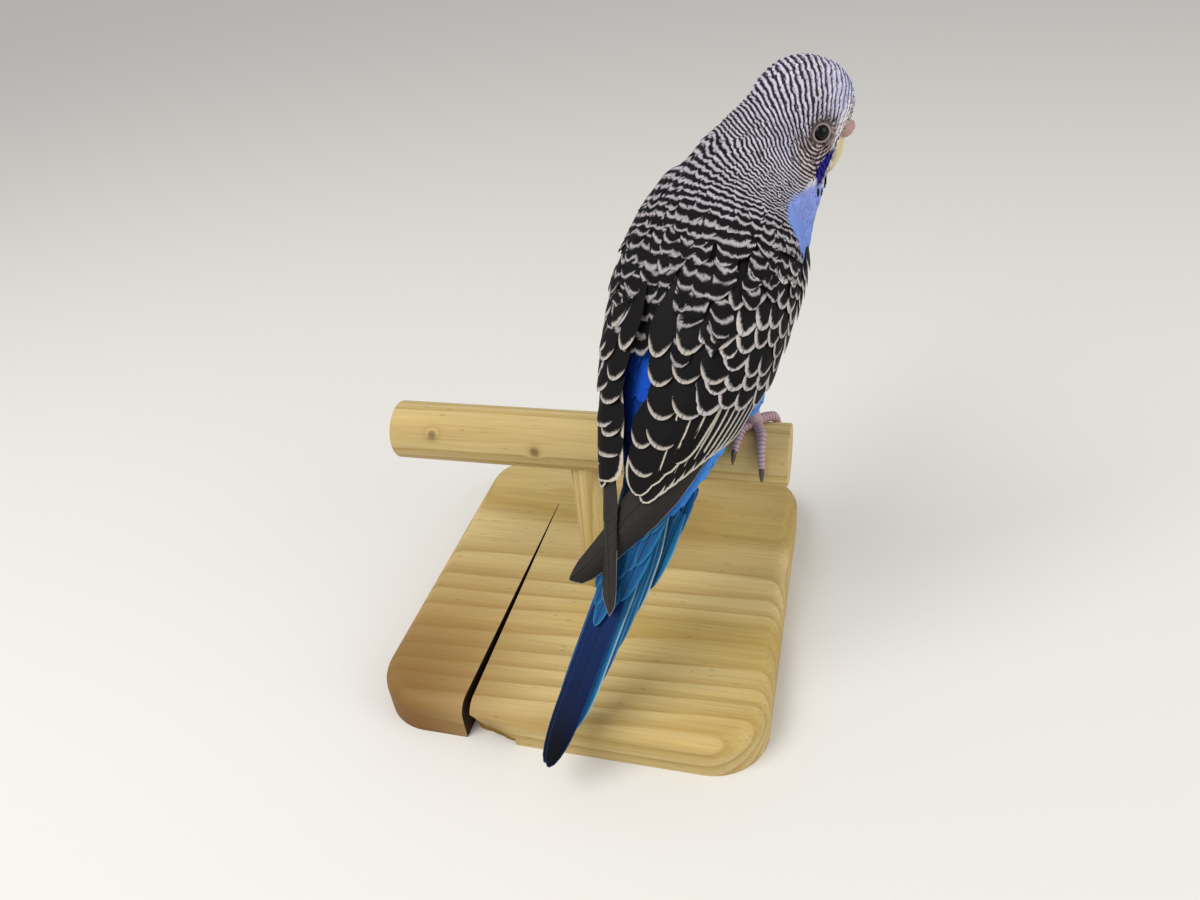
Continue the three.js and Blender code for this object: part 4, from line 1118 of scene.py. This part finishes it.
def vanes(at, side, root, tip, width, low, high, point=0.3, rows=12, bow=0.35, nose=0.5, tilt=0.0):
    """Feathers on a sheet. Root and tip are (count, 2) places on it. Width, low and high are in
    millimetres; point is the share of the length where the vane rounds off to its tip, and tilt
    lifts the edge that faces the sheet's lower border."""
    root, tip = np.asarray(root, float), np.asarray(tip, float)
    t = 1 - (1 - np.linspace(0, 1, rows)) ** 1.35
    u, v = np.meshgrid(VANE_ACROSS, t)
    spine = root[:, None] + (tip - root)[:, None] * t[None, :, None]
    a, b = spine[..., 0], spine[..., 1]
    by_a, by_b = tangents(at, a, b)
    ab = tip - root
    forward = unit(by_a * ab[:, None, 0:1] + by_b * ab[:, None, 1:2])
    normal = unit(np.cross(by_b, by_a)) * side
    across = unit(np.cross(normal, forward))
    width = np.broadcast_to(width, (len(root),))
    rounded = 0.985 * np.clip((t - (1 - point)) / point, 0, 1) ** (1 / nose)
    shape = np.minimum(1, 0.55 + 1.1 * t) * np.sqrt(np.maximum(0, 1 - rounded))
    half = width[:, None] / 2 * shape[None]
    # Steps along the sheet that give the wanted offset across the feather
    aa, bb, cross = (by_a**2).sum(-1), (by_b**2).sum(-1), (by_a * by_b).sum(-1)
    ra, rb = (across * by_a).sum(-1), (across * by_b).sum(-1)
    det = aa * bb - cross**2
    da, db = (ra * bb - rb * cross) / det, (rb * aa - ra * cross) / det
    off = half[:, :, None] * u[None]
    grid_a = np.clip(a[..., None] + da[..., None] * off, 0, 1.0)
    grid_b = b[..., None] + db[..., None] * off
    surface = at(grid_a, grid_b)
    low, high = (np.broadcast_to(h, (len(root),))[:, None, None] for h in (low, high))
    height = low + (high - low) * v[None] + bow * (1 - u[None] ** 2) * np.minimum(half[:, :, None] / 4, 1)
    height = height - tilt * u[None] * np.sign(db)[..., None] * np.minimum(half[:, :, None] / 3, 1)
    points = surface + normal[:, :, None] * height[..., None]
    length = np.linalg.norm(at(root[:, 0], root[:, 1]) - at(tip[:, 0], tip[:, 1]), axis=-1)
    to_side = half[:, :, None] * (1 - np.abs(u[None]))
    to_end = length[:, None, None] * (1 - v[None]) * 0.9
    return {
        "points": points,
        "barb": np.stack([off, length[:, None, None] * v[None]], -1),
        "rim": np.minimum(to_side, to_end),
        "u": np.broadcast_to(u, off.shape),
        "v": np.broadcast_to(v, off.shape),
        "root": root,
    }


def spread(first, last, count):
    return np.linspace(first, last, count) if count > 1 else np.array([(first + last) / 2])


def margined_finish(name, roughness):
    """Firm vanes: a dark colour inside, a pale margin whose width each feather carries."""
    made, tree, gloss = finish_of(name, Roughness=roughness, Specular_IOR_Level=0.1)
    dark, pale = (add(tree, "Attribute", attribute_name=key) for key in ("dark", "pale"))
    keys = ("rim", "margin", "soft", "chance")
    rim, margin, soft, chance = (add(tree, "Attribute", attribute_name=key).outputs["Fac"] for key in keys)
    beside, streaks, uneven = barb_streaks(tree, chance, 0.08)
    swing = add(tree, "Math", (uneven, soft), operation="MULTIPLY")
    bent = add(tree, "Math", (swing, 2.0, rim), operation="MULTIPLY_ADD")
    outer, inner = (add(tree, "Math", (soft, half, margin), operation="MULTIPLY_ADD") for half in (0.5, -0.5))
    band = add(tree, "MapRange", (bent, outer, inner, 0.0, 1.0), interpolation_type="SMOOTHSTEP")
    colour = add(tree, "Mix", {0: band, 6: dark, 7: pale}, data_type="RGBA")
    lift = add(tree, "MapRange", (streaks, 0.25, 0.75, 0.82, 1.18))
    shaded = add(tree, "VectorMath", {0: colour, "Scale": lift}, operation="SCALE")
    # The horny shaft down the middle, half a millimetre wide
    shaft = add(tree, "MapRange", (beside, 0.1, 0.24, 0.55, 0.0))
    lined = add(tree, "Mix", {0: shaft, 6: shaded, 7: linear("#0b0a0a")}, data_type="RGBA")
    tree.links.new(lined.outputs[2], gloss.inputs["Base Color"])
    ridged = add(tree, "Bump", {"Height": streaks, "Strength": 0.2, "Distance": 0.06 * MM})
    tree.links.new(ridged.outputs["Normal"], gloss.inputs["Normal"])
    return made


firm_plumage = margined_finish("firm quill feathers", 0.6)


def quills(name, slot, made, dark, pale, margin, soft, unwrap, *nodes):
    """A row of feathers as one object, with its colours and the width of its pale margins."""
    points = made["points"]
    size = points.shape[:3]
    data = {
        "dark": np.broadcast_to(dark, (*size, 3)),
        "pale": np.broadcast_to(pale, (*size, 3)),
        "rim": made["rim"],
        "margin": np.broadcast_to(margin, size),
        "soft": np.broadcast_to(soft, size),
        "chance": rng.random((len(points), 1, 1)),
    }
    bake = bake_patch(unwrap(made["root"]), *size[1:])
    return dress(feathered(name, firm_plumage, points, data, made["barb"], bake), slot, *nodes)


def sheet_unwrap(places):
    return [0.03, 0.1] + np.clip(places, 0, 1) * [0.94, 0.8]


# Flight feathers: name, count; a and b of the first and last root, then of the first and last tip;
# width; first and last low and high; the vane's rounded share; margin, softness, dark, pale
FLIGHT_ROWS = [
    ("primaries", 8, (0.34, 0.42), (0.14, 0.58), (0.99, 0.76), (0.42, 0.7),
     7.4, (-1.7, -1.2), (-0.6, 0.2), 0.2, 0.14, 0.06, "#2c2927", "#8a8580"),
    ("secondaries", 9, (0.24, 0.36), (0.02, 0.6), (0.47, 0.68), (0.05, 0.66),
     7.0, (-1.2, -0.8), (0.1, 0.8), 0.3, 0.5, 0.3, "#141211", "#b5aea3"),
    ("tertials", 4, (0.3, 0.34), (0.52, 0.86), (0.56, 0.66), (0.6, 0.84),
     9.8, (-0.6, -0.3), (0.8, 1.2), 0.3, 0.5, 0.3, "#100e0d", "#b5ada0"),
]
FLAT_BOW, TILE_TILT, NO_MARGIN = 0.1, 0.3, -0.2
# Near-black sheet under the coverts: their dark bases and the painted shade between them
covert_gap_shade = plain_finish("covert bases and painted shade", "#1a1718", Roughness=0.9, Specular_IOR_Level=0.05)
ARM_END, ARM_TOP, ARM_STEPS, ARM_DEEP = 0.66, 0.93, (40, 14), 1.15
COVERT_ROWS = 12
UNDER_MANTLE = -3.0
# Where along the wing the tips of the smallest and largest row lie at its lower and upper edge
COVERT_TIPS_LOW = (0.035, 0.36)
COVERT_TIPS_HIGH = (0.06, 0.5)
# Scapulars: a, b, width of each, laid over the wing's root and the tertials
SCAPULARS = [
    (0.3, 0.66, 7.4), (0.31, 0.83, 8.0), (0.32, 0.99, 7.0), (0.38, 0.6, 7.8), (0.38, 0.77, 8.4),
    (0.39, 0.95, 7.8), (0.45, 0.68, 8.8), (0.46, 0.87, 8.8), (0.53, 0.78, 9.2), (0.54, 0.96, 7.4),
    (0.6, 0.88, 9.0),
]
SCAPULAR_LENGTH = 0.12
# How far the left wing's inner edge is drawn in towards its tip, which leaves the rump's strip bare
LEFT_TAPER = 0.12


def drawn_in(side, a, b):
    return b - (side < 0) * LEFT_TAPER * rise(a, 0.42, 0.64) * rise(b, 0.42, 0.62)


covert_steps = np.linspace(0, 1, COVERT_ROWS) ** 1.25
for side, wing in ((1, "right"), (-1, "left")):
    sheet = wing_sheet(side)
    at = lambda a, b, sheet=sheet: from_bird(sheet(a, b))
    for row in FLIGHT_ROWS:
        name, count, *ends, width, lows, highs, point, margin, soft, dark, pale = row
        root_a, root_b, tip_a, tip_b = (spread(*end, count) for end in ends)
        root, tip = np.stack([root_a, root_b], -1), np.stack([tip_a, drawn_in(side, tip_a, tip_b)], -1)
        lows, highs = spread(*lows, count), spread(*highs, count)
        made = vanes(at, side, root, tip, width, lows, highs, point, bow=FLAT_BOW, tilt=TILE_TILT)
        nodes = ()
        if name == "primaries":
            # Only the outermost shows its pale edge
            margin = np.where(np.arange(count) == 0, margin, NO_MARGIN)[:, None, None]
            nodes = (f"wing_{wing}",)
        name, dark, pale = f"{name}_{wing}", ink(dark), ink(pale)
        quills(name, "wing_feathers", made, dark, pale, margin, soft, sheet_unwrap, *nodes)
    # The arm under the coverts, a near-black sheet, so that no body colour shows between them: it stands for
    # their dark bases and paints the shade in the gaps
    arm_a, arm_b = np.linspace(0.01, ARM_END, ARM_STEPS[0]), np.linspace(0.0, ARM_TOP, ARM_STEPS[1])
    a, b = np.meshgrid(arm_a, arm_b, indexing="ij")
    b = drawn_in(side, a, b)
    by_a, by_b = tangents(at, a, b)
    arm_points = (at(a, b) - unit(np.cross(by_b, by_a)) * side * ARM_DEEP).reshape(-1, 3)
    open_arm = past_mantle(arm_points) < 1
    arm_faces = [face for face in grid_faces(1, *ARM_STEPS).tolist() if open_arm[face].all()]
    dress(mesh_of(f"arm_{wing}", arm_points, arm_faces, covert_gap_shade), "wing_feathers")
    # Coverts, from the greater ones over the quills' bases up to the smallest at the shoulder
    for row in reversed(range(COVERT_ROWS)):
        k = covert_steps[row]
        count = round(12 - 5 * k)
        tip_low, tip_high = (
            first + (last - first) * k for first, last in (COVERT_TIPS_LOW, COVERT_TIPS_HIGH)
        )
        back = 0.045 + 0.11 * k
        stagger = 0.5 * (row % 2) / count
        tip_b = np.linspace(-0.02, 0.93, count) + stagger + rng.normal(0, 0.012, count)
        root_b = tip_b + rng.normal(0, 0.01, count)
        tip_a = tip_low + (tip_high - tip_low) * tip_b + rng.normal(0, 0.007, count)
        root_a = np.maximum(tip_a - back, 0.0)
        root, tip = np.stack([root_a, root_b], -1), np.stack([tip_a, tip_b], -1)
        under_scapulars = (tip_b > 0.62) & (tip_a > 0.3)
        at_wrist = (tip_b < 0.06) & (tip_a < 0.1)
        seen = (past_mantle(at(tip_a, tip_b)) < UNDER_MANTLE) & ~under_scapulars & ~at_wrist
        if not seen.any():
            continue
        root, tip = root[seen], tip[seen]
        width = (3.9 + 3.6 * k + 1.2 * k * tip[:, 1]) * rng.normal(1, 0.06, len(tip))
        made = vanes(at, side, root, tip, width, -0.8 + 0.2 * k, 1.3 - 0.1 * k, point=0.5, rows=9)
        fade = rise(made["v"] - 0.1 * np.abs(made["u"]), 0.42, 0.8)
        margin = (0.78 + 0.1 * k) * fade * rng.normal(1, 0.16, (len(tip), 1, 1)) - 0.3 * (1 - fade)
        name, dark, pale = f"coverts_{wing}_{row}", ink("#0f0d0e"), ink("#b0aaa8")
        quills(name, "wing_feathers", made, dark, pale, margin, 0.55, sheet_unwrap)
    for a, b, width in reversed(SCAPULARS):
        a, b = a + rng.normal(0, 0.006), b + rng.normal(0, 0.012)
        if past_mantle(at(np.array([a]), np.array([b])))[0] > UNDER_MANTLE:
            continue
        root, tip = [[a - SCAPULAR_LENGTH, b - 0.01]], [[a, drawn_in(side, a, b)]]
        made = vanes(at, side, root, tip, width, -0.6, 1.55, point=0.5)
        fade = rise(made["v"] - 0.12 * np.abs(made["u"]), 0.5, 0.85)
        margin = 0.95 * fade - 0.5 * (1 - fade)
        name = f"scapular_{wing}_{round(a * 1000)}_{round(b * 100)}"
        dark, pale = ink("#0e0c0c"), ink("#aca49c")
        quills(name, "wing_feathers", made, dark, pale, margin, 0.75, sheet_unwrap)

# Tail: long graduated quills under two rows of streaky coverts. The middle pair is the longest,
# navy with black tips; the outer ones are shorter and teal with pale edges.
TAIL_LENGTH, TAIL_SPREAD, TAIL_PAIRS = 77, 9.5, 5
TAIL_EDGES = ("#142c5e", "#7f9aa4", "#3f7093", "#5786a0", "#93a9ae")


def tail_sheet(height, arch):
    def at(a, b):
        a, b = np.asarray(a, float), np.asarray(b, float)
        over = (b - 0.5) * 2
        wide = TAIL_SPREAD * (1 - 0.42 * a)
        s = 6 - a * (TAIL_LENGTH + 5.5)
        return from_bird(along_axis(s, over * wide, height * (1 - 0.75 * a) + arch * (1 - over**2)))

    return at


tail_top = tail_sheet(1.5, 1.6)
for pair in reversed(range(TAIL_PAIRS)):
    for side in (1, -1):
        level = 0 if pair == 0 and side > 0 else pair + 1
        near, far = (0.06, 0.09) if pair == 0 else (0.12 + 0.03 * pair, 0.2 + 0.045 * pair)
        reach = 0.985 if pair == 0 else 0.98 - 0.13 * pair
        root, tip = [[0.06, 0.5 + side * near]], [[reach, 0.5 + side * far]]
        width, point = 7.2 if pair == 0 else 6.0, 0.2 if pair < 2 else 0.3
        made = vanes(tail_top, -1, root, tip, width, -0.3 - 0.45 * level, 0.5 - 0.85 * level, point, rows=20)
        v = made["v"][..., None]
        base, end = (ink("#0f2f68"), ink("#040814")) if pair == 0 else (ink("#143a70"), ink("#0a1c44"))
        dark = base * (1 - v) + end * v
        if pair:
            outer_web = rise(made["u"] * side, -0.1, 0.3)[..., None]
            dark = dark * (1 - outer_web) + ink("#1d5f8c" if side > 0 else "#143f74") * outer_web
        else:
            dark = dark * (1 - 0.8 * rise(v, 0.78, 0.95))
        pale = ink(TAIL_EDGES[pair] if side > 0 else "#27567c")
        margin = 0.35 if pair in (1, 4) and side > 0 else 0.24
        name = f"tail_quill_{pair}_{'right' if side > 0 else 'left'}"
        nodes = ("tail",) if pair == 0 and side > 0 else ()
        quills(name, "tail_feathers", made, dark, pale, margin, 0.25, sheet_unwrap, *nodes)
# Coverts over and under the tail's root: name, sheet, facing, colours, then each row's reach, count
# and width
TAIL_COVERTS = [
    ("tail_coverts", tail_sheet(2.6, 2.2), -1, "#174a78", "#256a94",
     ((0.5, 5, 5.2), (0.38, 7, 4.8), (0.27, 8, 4.6), (0.16, 8, 4.6))),
    ("under_tail_coverts", tail_sheet(-4.2, -1.4), 1, "#2f7fb5", "#6fb0d0",
     ((0.44, 6, 5.6), (0.3, 7, 5.4), (0.17, 8, 5.4))),
]
for name, sheet_at, facing, dark, pale, rows in TAIL_COVERTS:
    for row, (reach, count, width) in enumerate(rows):
        out = 0.36 - 0.10 * reach / 0.5 if facing < 0 else 0.38
        b = np.linspace(0.5 - out, 0.5 + out, count)
        tip_a = reach - 0.10 * np.abs(b - 0.5) / out + rng.normal(0, 0.006, count)
        root = np.stack([np.maximum(tip_a - 0.26, -0.05), 0.5 + (b - 0.5) * 1.15], -1)
        tip = np.stack([tip_a, b], -1)
        made = vanes(sheet_at, facing, root, tip, width, -0.8, 0.35 + 0.15 * row, point=0.55, rows=10)
        quills(f"{name}_{row}", "tail_feathers", made, ink(dark), ink(pale), 0.45, 0.9, sheet_unwrap)

# Eyes: wet black balls between narrow bare lids, grey-pink rings of fine skin beads.
EYE_BALL, EYE_OUT = 2.3, 0.15
LID_RING, LID_THICK, LID_OUT = 2.0, 0.2, 1.55
LID_SKIRT = [(3.5, -0.2), (3.05, 0.55), (2.6, 1.12)]
BEADS = 30
wet_black = plain_finish("wet black eye", "#070506", Roughness=0.06, Specular_IOR_Level=0.16)
lid_skin = plain_finish("bare lid skin", "#8b7d79", Roughness=0.55)


def ring_faces(steps, turns):
    """Faces between closed rings of points, one ring after the other."""
    return [
        [i * turns + j, i * turns + (j + 1) % turns, (i + 1) * turns + (j + 1) % turns, (i + 1) * turns + j]
        for i in range(steps - 1)
        for j in range(turns)
    ]


for side, word in ((1, "right"), (-1, "left")):
    centre = from_head(EYE_AT * [side, 1, 1])
    outward = unit(from_head([side, 0.12, 0.08]) - HEAD_CENTRE)
    ball = bmesh.new()
    bmesh.ops.create_uvsphere(ball, u_segments=40, v_segments=24, radius=EYE_BALL * MM)
    bmesh.ops.translate(ball, vec=Vector((centre + outward * EYE_OUT) * MM), verts=ball.verts)
    eye = dress(piece_of(f"eye_{word}_ball", ball, wet_black), "eye", f"eye_{word}")
    shade_smooth(eye, 3.0)
    one, two = (way[0] for way in across_surface(outward[None]))
    around = np.linspace(0, 2 * math.pi, BEADS * 4, endpoint=False)
    ring = np.cos(around)[:, None] * one + np.sin(around)[:, None] * two
    profile = [(reach, out, 0) for reach, out in LID_SKIRT]
    for turn in np.linspace(-0.25, math.pi * 1.15 - 0.25, 9):
        profile.append((LID_RING + LID_THICK * 1.25 * math.cos(turn), LID_OUT, LID_THICK * math.sin(turn)))
    rings = []
    for radius, out, raised in profile:
        lift = out + raised * (1 + 0.16 * np.cos(around * BEADS) * (raised > 0))
        rings.append(centre + outward * np.reshape(lift, (-1, 1)) + radius * ring)
    lid_faces = ring_faces(len(rings), len(around))
    lid = dress(mesh_of(f"eyelid_{word}", np.concatenate(rings), lid_faces, lid_skin), "cere_skin")
    shade_smooth(lid, 3.0)

# Cere and bill: a band of smooth bare skin over the bill with two round nostrils, a short hooked
# upper mandible of pale horn, and the lower one tucked under it, parted by the line of the mouth.
CERE_AT, CERE_RADII = np.array([0, 10.1, -3.6]), np.array([3.9, 2.5, 2.3])
NOSTRIL_AT, NOSTRIL_RADIUS = np.array([1.7, 12.35, -2.9]), 0.5
RIM_BALLS, RIM_BALL = 28, np.array([0.34, 0.4, 0.34])
UPPER_RIDGE = [(0, 9.4, -3.9), (0, 10.2, -7.2), (0, 9.9, -10.6), (0, 8.7, -13.6), (0, 7.9, -14.9)]
LOWER_AT, LOWER_RADII = np.array([0, 6.9, -11.6]), np.array([2.7, 2.5, 2.5])
cere_skin = plain_finish("cere skin", "#a8857f", Roughness=0.5, Subsurface_Weight=0.1)
# Near-black for the nostrils' openings: painted shade inside the holes
nostril_shade = plain_finish("painted nostril shade", "#1c1010", Roughness=0.9)
# Growth layers of the horn, drawn out down the bill
horn, *_ = mottled_finish("pale beak horn", "#b3a06a", "#ded3ae", [1, 1, 0.25], 1100.0, Roughness=0.35)


def head_ball(shape, centre, radii, rings=20):
    """An ellipsoid of the head's own frame, added to a bmesh."""
    made = bmesh.ops.create_uvsphere(shape, u_segments=2 * rings, v_segments=rings, radius=1)
    for vert in made["verts"]:
        place = np.array(vert.co) * radii + centre
        vert.co = Vector(from_head(place[None])[0] * MM)
    return made["verts"]


cere_shape = bmesh.new()
head_ball(cere_shape, CERE_AT, CERE_RADII * [1, 0.93, 0.97])
for side in (1, -1):
    head_ball(cere_shape, CERE_AT + [side * 1.5, 0, 0], CERE_RADII * [0.62, 1, 1])
    for k in range(RIM_BALLS):
        # The raised rim of each nostril, built of small overlapping balls
        angle = 2 * math.pi * k / RIM_BALLS
        way = np.array([math.cos(angle), 0, math.sin(angle)])
        ball_at = NOSTRIL_AT * [side, 1, 1] + NOSTRIL_RADIUS * 1.4 * way
        ball_at[1] -= 0.12 * way[0] * side + 0.16 * way[2]
        head_ball(cere_shape, ball_at, RIM_BALL, 6)
cere = piece_of("cere_skin_piece", cere_shape, cere_skin)
reshape(cere, "REMESH", mode="VOXEL", voxel_size=0.2 * MM)
reshape(cere, "SMOOTH", iterations=5)
applied(cere)
dress(cere, "cere_skin", "cere")
shade_smooth(cere, 3.0)
# Painted shade in each nostril: a dark flattened ball set into the cere
hole_shape = bmesh.new()
for side in (1, -1):
    head_ball(hole_shape, NOSTRIL_AT * [side, 1, 1], NOSTRIL_RADIUS * np.array([1, 0.55, 1]), 10)
holes = dress(piece_of("nostrils", hole_shape, nostril_shade), "cere_skin")
shade_smooth(holes, 3.0)

# Upper mandible: an arched horn that narrows to its hooked tip
steps, turns = 26, 28
ridge = smooth_curve(UPPER_RIDGE, np.linspace(0, 1, steps))
ahead_of = unit(np.gradient(ridge, axis=0))
rings = []
for i in range(steps):
    u = i / (steps - 1)
    half = 3.6 * (1 - u**1.7) + 0.3
    depth = 3.1 * (1 - u**1.6) + 0.35
    out = np.cross([1.0, 0, 0], ahead_of[i])
    out = out * (1 if out[1] > 0 else -1)
    angle = np.linspace(0, 2 * math.pi, turns, endpoint=False)
    bulge = np.where(np.cos(angle) > 0, 1.0, 0.55)
    x = half * np.sin(angle)
    y = depth * np.cos(angle) * bulge - depth * 0.75
    rings.append(ridge[i] + x[:, None] * np.array([1.0, 0, 0]) + y[:, None] * out)
ring_points = from_head(np.concatenate(rings + [ridge[-1:] + ahead_of[-1] * 0.35 - [0, 0.5, 0]]))
faces = ring_faces(steps, turns)
last = (steps - 1) * turns
faces += [[last + j, last + (j + 1) % turns, steps * turns] for j in range(turns)]
faces += [list(range(turns))[::-1]]
upper = dress(mesh_of("beak_upper_horn", ring_points, faces, horn), "beak_horn", "beak_upper")
shade_smooth(upper, 1.2)
lower_shape = bmesh.new()
head_ball(lower_shape, LOWER_AT, LOWER_RADII)
lower = dress(piece_of("beak_lower_horn", lower_shape, horn), "beak_horn", "beak_lower")
shade_smooth(lower, 3.0)

# Feet: two toes ahead and two behind round the bar, of pinkish-grey skin in ring scutes, with
# soft pads under them, and curved claws of dark horn.
FEET_ALONG, FEET_SPREAD = -3.4, 12.5
TOE_RADIUS, TOE_GAP = 1.35, 0.3
SCUTE = 1.05
TOES = [(1, 3.2, 2.4, 88, 24), (1, -1.4, -1.8, 70, 22), (-1, 1.8, 1, 80, 24), (-1, -2.6, -2, 56, 20)]
ORBIT = BAR_RADIUS / MM + TOE_GAP + TOE_RADIUS
foot_skin, foot_tree, foot_gloss, skin_tone = mottled_finish(
    "scaled foot skin", "#9c7f86", "#c3a3a6", [1, 1, 1], 700.0, Roughness=0.5
)
# The grooves between scutes are darker
groove_at = add(foot_tree, "Attribute", attribute_name="groove").outputs["Fac"]
grooved = add(foot_tree, "Mix", {0: groove_at, 6: skin_tone, 7: linear("#6b5158")}, data_type="RGBA")
foot_tree.links.new(grooved.outputs[2], foot_gloss.inputs["Base Color"])
claw_horn = plain_finish("dark claw horn", "#4a3b3c", Roughness=0.3)


def limb(path, radii, steps, turns, scute, pads=()):
    """A tube of skin along a path with ring scutes, and swollen pads at shares of its length.
    Gives points, faces and how deep in a groove each point is."""
    u = np.linspace(0, 1, steps)
    centre = smooth_curve(path, u)
    forward = unit(np.gradient(centre, axis=0))
    right = unit(np.array([1.0, 0, 0]) - forward * forward[:, :1])
    up = np.cross(right, forward)
    length = np.concatenate([[0], np.cumsum(np.linalg.norm(np.diff(centre, axis=0), axis=1))])
    radius = np.interp(u, np.linspace(0, 1, len(radii)), radii)
    phase = (length / scute) % 1.0 if scute else np.full(steps, 0.5)
    groove = np.exp(-((np.minimum(phase, 1 - phase) / 0.11) ** 2)) if scute else np.zeros(steps)
    swell = 1 + 0.07 * np.sin(np.pi * phase) - 0.07 * groove
    angle = np.linspace(0, 2 * math.pi, turns, endpoint=False)
    pad = sum((0.12 * np.exp(-(((u - at) / 0.07) ** 2)) for at in pads), np.zeros(steps))
    r = radius[:, None] * swell[:, None] * (1 + pad[:, None] * np.maximum(0, -np.cos(angle))[None])
    points = centre[:, None] + r[..., None] * (
        np.sin(angle)[None, :, None] * right[:, None] + np.cos(angle)[None, :, None] * up[:, None]
    )
    tip = centre[-1] + forward[-1] * radius[-1] * 0.8
    start = centre[0] - forward[0] * radius[0] * 0.5
    faces = ring_faces(steps, turns)
    last = (steps - 1) * turns
    faces += [[last + j, last + (j + 1) % turns, steps * turns] for j in range(turns)]
    faces += [[(j + 1) % turns, j, steps * turns + 1] for j in range(turns)]
    depth = np.concatenate([np.repeat(groove, turns), [0, 0]])
    return np.concatenate([points.reshape(-1, 3), [tip, start]]), faces, depth


def on_bar(side, forward, x, degrees, out=0.0):
    """A place round the bar, in the foot's own frame."""
    angle = math.radians(degrees)
    return (side * x, forward * (ORBIT + out) * math.sin(angle), (ORBIT + out) * math.cos(angle))


def joined(parts):
    points, faces, depths, count = [], [], [], 0
    for some, loops, depth in parts:
        points.append(some)
        faces += [[i + count for i in loop] for loop in loops]
        depths.append(depth)
        count += len(some)
    return np.concatenate(points), faces, np.concatenate(depths)


for side, word in ((1, "right"), (-1, "left")):
    along = FEET_ALONG + side * FEET_SPREAD
    foot_at = np.array([along * math.cos(TURN), along * math.sin(TURN), 0])
    toes, claws = [], []
    for forward, x, splay, reach, claw in TOES:
        path = [on_bar(side, forward, x * min(1, 3 * t) + splay * t, reach * t) for t in np.linspace(0, 1, 7)]
        toes.append(limb(path, [1.4, 1.32, 1.24, 1.12, 1.0, 0.85], 78, 18, SCUTE, (0.36, 0.66, 0.92)))
        hook = [
            on_bar(side, forward, x + splay * more, reach - 5 + (claw + 5) * k, out)
            for k, more, out in ((0, 1, 0.1), (0.35, 1.06, 0.75), (0.7, 1.12, 0.7), (1, 1.18, 0.0))
        ]
        claws.append(limb(hook, [0.72, 0.66, 0.48, 0.12], 20, 12, 0))
    shank = [(0, 0, ORBIT - 0.2), (-side * 0.2, -1.8, ORBIT + 3), (-side * 0.4, -3.2, ORBIT + 6.4)]
    toes.append(limb(shank, [1.9, 1.55, 1.5], 44, 20, SCUTE))
    for name, parts, finish, nodes in (
        ("foot", toes, foot_skin, (f"foot_{word}",)),
        ("claws", claws, claw_horn, ()),
    ):
        points, faces, depth = joined(parts)
        world = from_bird((points @ turn_z(TURN).T) + foot_at)
        made = mesh_of(f"{name}_{word}_piece", world, faces, finish)
        groove = made.data.attributes.new("groove", "FLOAT", "POINT")
        groove.data.foreach_set("value", depth.astype(np.float32))
        dress(made, "foot_skin", *nodes)
        shade_smooth(made, 3.0)
